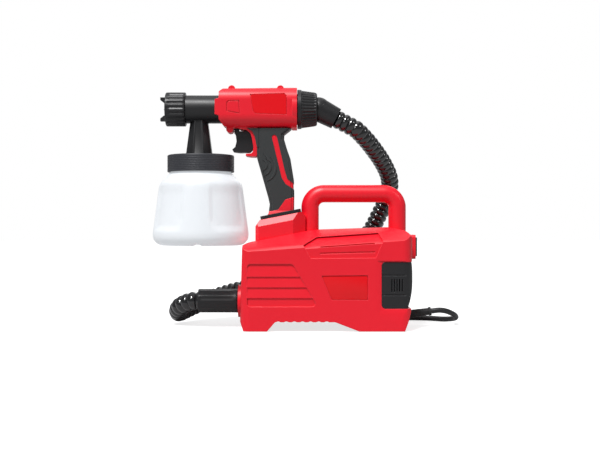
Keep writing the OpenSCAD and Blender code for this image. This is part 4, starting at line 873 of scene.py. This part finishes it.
@dataclass
class MainsLead:
    """The mains lead with its stored coil and its plug.

    Args:
        diameter: Of the lead.
        start: Where it leaves the strain relief.
        relief_from: Foot of the strain relief.
        coil_centre: Middle of the coil on the floor.
        coil_radius: At the middle of the coil's turns.
        coil_step: Between neighbouring turns.
        loops: Loops in each of the two layers.
        tail: Straight run from the coil to the plug.
        sides: Steps round the lead.
        cut: Length of its steps.
    """

    diameter: float = 7.0
    start: Point3 = (190.0, 0.0, 20.0)
    relief_from: Point3 = (157.0, 0.0, 15.5)
    coil_centre: Point2 = (45.0, 136.0)
    coil_radius: float = 42.0
    coil_step: float = 7.6
    loops: int = 3
    tail: float = 46.0
    sides: int = 14
    cut: float = 2.6

    def route(self) -> Route:
        """The lead's free route up to the coil, as in the CAD."""
        ahead = Vector(self.start) - Vector(self.relief_from)
        points = [
            (197.1, 0, 21), (211, 5, 19.5), (224, 20, 13), (228, 42, 7), (217, 62, 3.8), (198, 76, 3.6),
            (172, 82, 3.6), (130, 83, 3.6), (90, 82.6, 3.6), (59, 82.6, 3.6),
        ]
        return Route(points, tuple(ahead), (-1, 0, 0), self.diameter, 3.5)

    def coil_point(self, t: float) -> Vector:
        """Point of the coil after t turns: in along the floor, up a layer, and out again."""
        u = t if t < self.loops else 2 * self.loops - t
        climb = min(1.0, max(0.0, (t - self.loops + 0.25) / 0.5))
        r = self.coil_radius + self.coil_step * (self.loops / 2 - u)
        a = math.radians(270 - 360 * t)
        cx, cy = self.coil_centre
        return Vector((cx + r * math.cos(a), cy + r * math.sin(a), self.diameter / 2 + 0.1 + self.coil_step * climb))

    def line(self) -> list[Vector]:
        """Points of the whole lead, from the strain relief to the plug."""
        per_turn = 48
        coil = [self.coil_point(k / per_turn) for k in range(2 * self.loops * per_turn + 1)]
        tail = [coil[-1] - Vector((self.tail * k / 12, 0, 0)) for k in range(1, 13)]
        return self.route().line()[:-1] + [coil[0] + Vector((self.diameter, 0, 0))] + coil + tail

    def build(self, paint: Paintbox) -> None:
        line = self.line()
        spine = Spine(line)
        r = self.diameter / 2
        count = round(spine.length / self.cut)
        profile = [(0.0, 0.0)] + [(r, spine.length * k / count) for k in range(count + 1)] + [(0.0, spine.length)]
        shape = Shape()
        spine.bend(shape.turn(profile, self.sides))
        lead = shape.piece("mains_flex", paint, Slot.LEAD, "base", ["mains_lead", "mains_coil"], crease=60)
        plug = self._plug(paint, line[-1])
        LOG.info("mains lead: %.0f mm", spine.length)

    def _plug(self, paint: Paintbox, at: Vector) -> bpy.types.Object:
        """Makes the moulded plug with its ribbed sleeve.

        Args:
            paint: The finishes.
            at: Where the lead enters the plug.

        Returns:
            The plug.
        """
        place = Matrix.Translation(at) @ Matrix.Rotation(-math.pi / 2, 4, "Y")
        shape = Shape()
        sleeve = [(3.6, 0.2), (4.6, 0.0)]
        for k in range(4):
            sleeve += [(5.2, 0.6 + 2.6 * k), (5.2, 2.0 + 2.6 * k), (4.4, 2.3 + 2.6 * k), (4.4, 2.9 + 2.6 * k)]
        shape.turn(sleeve + [(5.4, 12.0), (0.0, 12.0)], 28, place)
        known = set(shape.bm.verts)
        sections = [
            (9.5, 9.0, 6.6), (13.0, 11.0, 8.0), (19.0, 12.4, 8.8), (21.0, 16.8, 10.6), (24.0, 17.5, 11.1),
            (37.5, 17.5, 11.1), (39.4, 16.6, 10.3), (40.0, 15.4, 9.0),
        ]
        loops = [self._oval(shape, along, a, b) for along, a, b in sections]
        for near, far in zip(loops, loops[1:]):
            bmesh.ops.bridge_loops(shape.bm, edges=[*near, *far])
        for loop in (loops[0], loops[-1]):
            bmesh.ops.contextual_create(shape.bm, geom=loop)
        bmesh.ops.transform(shape.bm, matrix=place, verts=shape.since(known))
        return shape.piece("moulded_plug", paint, Slot.LEAD, "base", ["plug_body"], crease=40)

    @staticmethod
    def _oval(shape: Shape, along: float, a: float, b: float) -> list[Edge]:
        """Adds a rounded rectangle's loop, its half width a along Y and half height b along X."""
        made = bmesh.ops.create_circle(shape.bm, segments=40, radius=1.0)
        for v in made["verts"]:
            angle = math.atan2(v.co.y, v.co.x)
            c, s = math.cos(angle), math.sin(angle)
            v.co = Vector((b * math.copysign(abs(c) ** 0.55, c), a * math.copysign(abs(s) ** 0.55, s), along))
        return list({e for v in made["verts"] for e in v.link_edges})


# ---- Paint cup and lid


@dataclass
class PaintCup:
    """The milky cup with four soft sunk panels, and its screw neck.

    Args:
        centre_x: Axis of the cup.
        radius: Largest outer radius.
        neck: Outer radius of the neck.
        wall: Thickness of the wall.
        foot_z: Lowest point.
        rim_z: Top of the neck.
        panel_depth: How deep the panels are sunk.
        rounding: Radius of the rounded foot and shoulder.
        taper: How much narrower the shoulder is than the foot, in radius.
    """

    centre_x: float = -108.9
    radius: float = 61.8
    neck: float = 39.3
    wall: float = 1.8
    foot_z: float = 105.5
    rim_z: float = 214.4
    panel_depth: float = 2.3
    rounding: float = 13.0
    taper: float = 7.7

    def outline(self, inside: float) -> list[Point2]:
        """Half section from the foot to the neck, a distance inside the outer face."""
        wide, neck = self.radius - inside, self.neck - inside
        narrow, r = wide - self.taper, self.rounding
        seat = wide - r
        low, high = self.foot_z + 16, self.foot_z + 75
        return [
            (seat - 22, self.foot_z + inside + 1.2),
            (seat - 18, self.foot_z + inside),
            *arc(seat, self.foot_z + r, r - inside, -90, 0, 8),
            *((wide + (narrow - wide) * k / 16, low + (high - low) * k / 16) for k in range(17)),
            *arc(narrow - r, high - 1.6, r, 7, 50, 9)[1:],
            (neck + 1.2, self.foot_z + 93.2),
            (neck, self.foot_z + 94.4),
        ]

    def build(self, paint: Paintbox) -> None:
        """Spins the cup and presses its panels in."""
        outer, inner = self.outline(0.0), self.outline(self.wall)
        n, bore = self.neck, self.neck - self.wall
        thread = ((n, 0.0), (n + 1, 0.6), (n + 1, 2.2), (n, 3.0))
        threads = [(r, self.foot_z + start + z) for start in (98.0, 103.0) for r, z in thread]
        rim = [(n, self.rim_z - 0.4), (n - 0.4, self.rim_z), (bore + 0.4, self.rim_z), (bore, self.rim_z - 0.4)]
        profile = [(0.0, self.foot_z + 1.2), *outer, *threads, *rim, *inner[::-1], (0.0, self.foot_z + 1.2 + self.wall)]
        shape = Shape()
        made = shape.turn(profile, 144)
        for v in made:
            self._press(v)
        bmesh.ops.translate(shape.bm, verts=made, vec=(self.centre_x, 0, 0))
        shape.piece("milky_paint_cup", paint, Slot.CUP, "paint_cup", ["cup"], crease=50)

    def _press(self, v: Vert) -> None:
        """Moves one vertex of the turned cup to form the sunk panels and the foot's notches."""
        r, under_foot = math.hypot(v.co.x, v.co.y), 30
        if r < under_foot:
            return
        off = abs(math.degrees(math.atan2(v.co.y, v.co.x)) % 90 - 45)
        z = v.co.z - self.foot_z
        half_width, low, high = 29, 20, 84
        notch_high, notch_wide = 6, 5.5
        round_corner = smooth(off, 15, 27) * smooth(low + 16 - z, 0, 18)
        sunk = smooth(half_width - off, 0, 4) * smooth(z, low, low + 4) * smooth(high - z, 0, 20)
        keep = 1 - self.panel_depth * sunk * (1 - round_corner) / r
        v.co.x *= keep
        v.co.y *= keep
        if z < notch_high and abs(v.co.x) < notch_wide:
            v.co.z += 1.7 * smooth(notch_wide - abs(v.co.x), 0, 2.5) * smooth(notch_high - z, 0, 5)


@dataclass
class CupLid:
    """The dark grey lid with its fine lines, and the faceted neck that carries it.

    Args:
        centre_x: Axis of the lid.
        neck_x: Axis of the neck.
        radius: Outer radius of the lid.
        low_z: Lower edge of the skirt.
        high_z: Top of the lid.
        lines: Fine lines round the skirt.
        pitch: From line to line.
        neck_foot: Half width of the neck at the lid.
        neck_top: Half width of the neck under the barrel.
        top_z: Top of the neck, inside the barrel.
    """

    centre_x: float = -108.9
    neck_x: float = -110.9
    radius: float = 43.2
    low_z: float = 200.3
    high_z: float = 222.3
    lines: int = 8
    pitch: float = 2.2
    neck_foot: float = 16.9
    neck_top: float = 10.6
    top_z: float = 272.0

    def build(self, paint: Paintbox) -> None:
        """Makes the lid, then the neck as a piece of its own."""
        shape = Shape()
        r = self.radius
        inner, under = r - 2.6, self.high_z - 3.5
        profile = [(5.2, under), (inner, under), (inner, self.low_z), (r - 0.5, self.low_z), (r, self.low_z + 0.5)]
        for k in range(self.lines):
            z = self.low_z + 2.6 + self.pitch * k
            profile += [(r, z - 0.35), (r - 0.35, z - 0.12), (r - 0.35, z + 0.12), (r, z + 0.35)]
        profile += [(r, self.high_z - 1.4), (r - 0.4, self.high_z - 0.45), (r - 1.4, self.high_z), (5.2, self.high_z)]
        shape.turn(profile, 120, Matrix.Translation((self.centre_x, 0, 0)), ring=True)
        shape.piece("lined_cup_lid", paint, Slot.LID, "gun", ["cup_lid"], crease=38)
        self._neck(paint)

    def _neck(self, paint: Paintbox) -> None:
        """Makes the eight-sided neck, each of its broad faces with a sunk foot."""
        shape = Shape()
        z0 = self.high_z - 0.2
        spread = 1 / math.cos(math.pi / 8)
        place = Matrix.Translation((self.neck_x, 0, z0)) @ Matrix.Rotation(math.pi / 8, 4, "Z")
        shape.cone(8, self.neck_foot * spread, self.neck_top * spread, self.top_z - z0, place)
        faces = [f for f in shape.bm.faces if len(f.verts) == 4 and abs(f.normal.y) > 0.9]
        bmesh.ops.inset_region(shape.bm, faces=faces, thickness=1.5, depth=-0.7, use_even_offset=True)
        shape.soften(0.9, 3)
        shape.cone(48, self.neck_foot + 3.4, self.neck_foot + 1.6, 1.6, Matrix.Translation((self.neck_x, 0, z0)))
        shape.piece("faceted_neck", paint, Slot.DARK, "gun", crease=32)


# ---- Nuts and sleeves


@dataclass
class FlutedNut:
    """A turned nut or sleeve with flutes along it.

    Args:
        name: Name of the piece.
        node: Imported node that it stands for.
        body: Body that it rides on.
        at: Place of its axis's foot as (x, z).
        profile: Closed half section as (radius, distance along the axis).
        flutes: Number of flutes.
        depth: Depth of the flutes.
        span: Stretch of the axis that has flutes.
        sharp: How narrow the flutes are, 1 for a plain wave.
        longest: Greatest length of a stretch of the profile, so that flutes can begin and end in it.
        floor: Radius above which vertices belong to the outside.
        twist: Turn of the first flute in degrees.
    """

    name: str
    node: str
    body: str
    at: Point2
    profile: Sequence[Point2]
    flutes: int
    depth: float
    span: Point2
    sharp: float
    longest: float
    floor: float
    twist: float = 0.0

    def _section(self) -> list[Point2]:
        """The profile with its long stretches cut into short ones."""
        made: list[Point2] = []
        for (r0, z0), (r1, z1) in zip(self.profile, [*self.profile[1:], self.profile[0]]):
            parts = max(1, math.ceil(math.hypot(r1 - r0, z1 - z0) / self.longest))
            made += [(r0 + (r1 - r0) * k / parts, z0 + (z1 - z0) * k / parts) for k in range(parts)]
        return made

    def build(self, paint: Paintbox) -> None:
        """Spins the nut and sinks its flutes."""
        shape = Shape()
        made = shape.turn(self._section(), self.flutes * 10, ring=True)
        for v in made:
            r = math.hypot(v.co.x, v.co.y)
            if r < self.floor:
                continue
            angle = math.atan2(v.co.y, v.co.x) + math.radians(self.twist)
            wave = 0.5 + 0.5 * math.cos(angle * self.flutes)
            inside = smooth(v.co.z, self.span[0], self.span[0] + 1.2) * smooth(self.span[1] - v.co.z, 0, 1.2)
            keep = 1 - self.depth * inside * wave ** self.sharp / r
            v.co.x *= keep
            v.co.y *= keep
        place = Matrix.Translation((self.at[0], 0, self.at[1])) @ Matrix.Rotation(math.pi / 2, 4, "Y")
        bmesh.ops.transform(shape.bm, matrix=place, verts=made)
        shape.piece(self.name, paint, Slot.DARK, self.body, [self.node], crease=42)


def fluted_parts() -> list[FlutedNut]:
    """The union nut, the hose's collar nut and the outlet sleeve."""
    union = [(13.5, 0.4), (21.2, 0.0), (22.0, 0.8), (22.0, 24.6), (21.4, 25.3), (17.2, 25.3), (17.2, 5.6), (13.5, 5.6)]
    collar = [
        (20.3, 0.0), (24.9, 0.0), (25.5, 0.6), (25.3, 5.0), (24.4, 5.4), (24.1, 6.2), (21.8, 22.6), (21.0, 24.6),
        (20.0, 25.5), (16.2, 25.5), (16.2, 17.8), (20.3, 17.8),
    ]
    sleeve = [
        (14.0, 0.0), (15.1, 0.0), (15.35, 0.3), (15.35, 51.1), (15.1, 51.4), (12.8, 51.4), (12.8, 31.0),
        (12.4, 31.0), (12.4, 5.0),
    ]
    return [
        FlutedNut(
            "ribbed_union_nut", "union_nut", "front_nut", (-153.7, 282.0), union, flutes=20, depth=1.3,
            span=(3.0, 26.5), sharp=2.4, longest=2.0, floor=19.5,
        ),
        FlutedNut(
            "ribbed_collar_nut", "collar_nut", "hose_collar", (16.5, 282.0), collar, flutes=34, depth=1.25,
            span=(5.6, 24.0), sharp=1.3, longest=2.0, floor=20.8,
        ),
        FlutedNut(
            "fluted_outlet_sleeve", "outlet_sleeve", "hose_sleeve", (-111.8, 33.5), sleeve, flutes=12, depth=0.55,
            span=(2.0, 46.0), sharp=0.8, longest=3.0, floor=14.6, twist=15.0,
        ),
    ]


# ---- Labels and grip relief


@dataclass
class Plates:
    """Bare glossy label fields on the base and the gun, and the raised swirls on the grip.

    Args:
        base_outline: Outline of the base's field.
        gun_outline: Outline of the gun's field.
    """

    base_outline: Sequence[Point2] = ((47.3, 68.6), (103.6, 69.2), (103.6, 39.5), (59.2, 39.5))
    gun_outline: Sequence[Point2] = (
        (-43.2, 298.4), (-0.3, 299.9), (2.5, 296.7), (2.5, 273.0), (-36.9, 274.5), (-39.4, 277.1),
    )

    def build(self, paint: Paintbox) -> None:
        """Makes the plates of both sides and the swirls."""
        for side, word in ((-1, "near"), (1, "far")):
            self._plate(paint, f"base_label_{word}", "base", self.base_outline, side * 60.2, side * 61.3, 2.4)
            self._plate(paint, f"gun_label_{word}", "gun", self.gun_outline, side * 23.8, side * 24.7, 2.0)
            self._swirls(paint, f"grip_swirls_{word}", side)

    @staticmethod
    def _plate(
        paint: Paintbox, name: str, body: str, outline: Sequence[Point2], y0: float, y1: float, corner: float
    ) -> None:
        """Makes one thin plate with rounded corners and a soft edge."""
        shape = Shape()
        shape.slab(outline, y0, y1)
        shape.soften(corner, 5, lambda e: abs((e.verts[0].co - e.verts[1].co).y) > 0.1)
        shape.soften(0.3, 2, lambda e: e.calc_face_angle(0.0) > 1.0)
        shape.piece(name, paint, Slot.RED, body, crease=40, material=paint.label)

    @staticmethod
    def _crescent(cx: float, cz: float, r: float, start: float, end: float, thick: float) -> list[Point2]:
        """Outline of a crescent that tapers to both ends, its angles in degrees."""
        steps = 22
        outer, inner = [], []
        for k in range(steps + 1):
            t = k / steps
            a = math.radians(start + (end - start) * t)
            half = max(0.12, thick / 2 * math.sin(math.pi * t))
            outer.append((cx + (r + half) * math.cos(a), cz + (r + half) * math.sin(a)))
            inner.append((cx + (r - half) * math.cos(a), cz + (r - half) * math.sin(a)))
        return outer + inner[::-1]

    def _swirls(self, paint: Paintbox, name: str, side: int) -> None:
        """Makes the nested crescents that stand a little proud of the grip's side."""
        shape = Shape()
        for crescent in (
            self._crescent(-29.5, 205.0, 18.0, -68, 52, 3.2),
            self._crescent(-30.0, 207.0, 12.2, -72, 62, 2.8),
            self._crescent(-29.5, 209.0, 6.8, -80, 80, 2.4),
            self._crescent(-52.0, 196.0, 37.5, 22, 48, 1.8),
        ):
            shape.slab(crescent, side * 16.2, side * 17.75)
        shape.soften(0.5, 3, lambda e: e.calc_face_angle(0.0) > 1.0 and all(abs(v.co.y) > 17.5 for v in e.verts))
        shape.piece(name, paint, Slot.GRIP, "gun", crease=50)


# ---- Carried over nodes


@dataclass(frozen=True)
class Carried:
    """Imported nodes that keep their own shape.

    Args:
        slot: The record's slot of their finish.
        body: Body that they ride on.
        nodes: Their names.
        welded: Whether they are shown as welded copies with smooth shading.
    """

    slot: Slot
    body: str
    nodes: tuple[str, ...]
    welded: bool = True

    def dress(self, paint: Paintbox) -> None:
        """Gives each node its finish, on a welded copy where that looks better."""
        for node in self.nodes:
            if self.welded:
                shape = Shape().copy_of(node)
                shape.piece(f"{node}_moulding", paint, self.slot, self.body, [node], crease=26, packed=True)
                continue
            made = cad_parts[node]
            made.data.materials.clear()
            made.data.materials.append(paint.by_slot[self.slot])


CARRIED = (
    Carried(Slot.RED, "base", ("base_left_shell", "base_right_shell", "carry_handle", "dock", "outlet_port")),
    Carried(Slot.RED, "gun", ("gun_left_shell", "gun_right_shell")),
    Carried(Slot.DARK, "base", ("dock_ring", "switch_frame", "cord_clamp", "diffuser")),
    Carried(Slot.DARK, "filter_door", ("filter_cover",)),
    Carried(Slot.DARK, "power_rocker", ("rocker",)),
    Carried(Slot.DARK, "gun", ("barrel", "hose_cuff")),
    Carried(Slot.DARK, "cap", ("air_cap",)),
    Carried(Slot.DARK, "trigger_lever", ("trigger",)),
    Carried(Slot.GRIP, "gun", ("grip_sleeve",)),
    Carried(Slot.SEAL, "base", ("motor_mounts", "strain_relief")),
    Carried(Slot.SEAL, "gun", ("hose_seal", "lid_gasket", "valve_disc")),
    Carried(Slot.TUBE, "gun", ("suction_tube", "valve_cap")),
    Carried(Slot.LIGHT_METAL, "base", ("turbine_casing", "turbine_cover", "motor_frame")),
    Carried(Slot.LIGHT_METAL, "rotor", ("impellers",)),
    Carried(Slot.STEEL, "base", ("base_screws", "stator", "motor_bearings")),
    Carried(Slot.STEEL, "rotor", ("armature",)),
    Carried(Slot.STEEL, "gun", ("gun_screws", "trigger_spring")),
    Carried(Slot.BRIGHT, "rotor", ("motor_shaft",)),
    Carried(Slot.BRIGHT, "base", ("plug_pins",), welded=False),
    Carried(Slot.BRIGHT, "gun", ("fluid_nozzle", "trigger_pin")),
    Carried(Slot.BRIGHT, "paint_needle", ("needle",)),
    Carried(Slot.BRASS, "gun", ("packing_nut",)),
    Carried(Slot.WINDING, "base", ("field_windings",)),
    Carried(Slot.WINDING, "rotor", ("commutator",)),
    Carried(Slot.CARBON, "base", ("carbon_brushes",)),
    Carried(Slot.FOAM, "base", ("filter_foam",)),
    Carried(Slot.BLOCK, "base", ("terminal_block",)),
    Carried(Slot.PTFE, "gun", ("needle_seal",)),
    Carried(Slot.BRUSH, "base", ("brush_holders",)),
    Carried(Slot.LEAD, "base", ("inner_lead",)),
)


def main() -> None:
    """Builds the studio, the cords and every piece, in that order."""
    logging.basicConfig(level=logging.INFO, format="%(name)s: %(message)s")
    paint = Paintbox()
    Studio().build()
    for carried in CARRIED:
        carried.dress(paint)
    AirHose().build(paint)
    MainsLead().build(paint)
    PaintCup().build(paint)
    CupLid().build(paint)
    for nut in fluted_parts():
        nut.build(paint)
    Plates().build(paint)


if __name__ == "__main__":
    main()
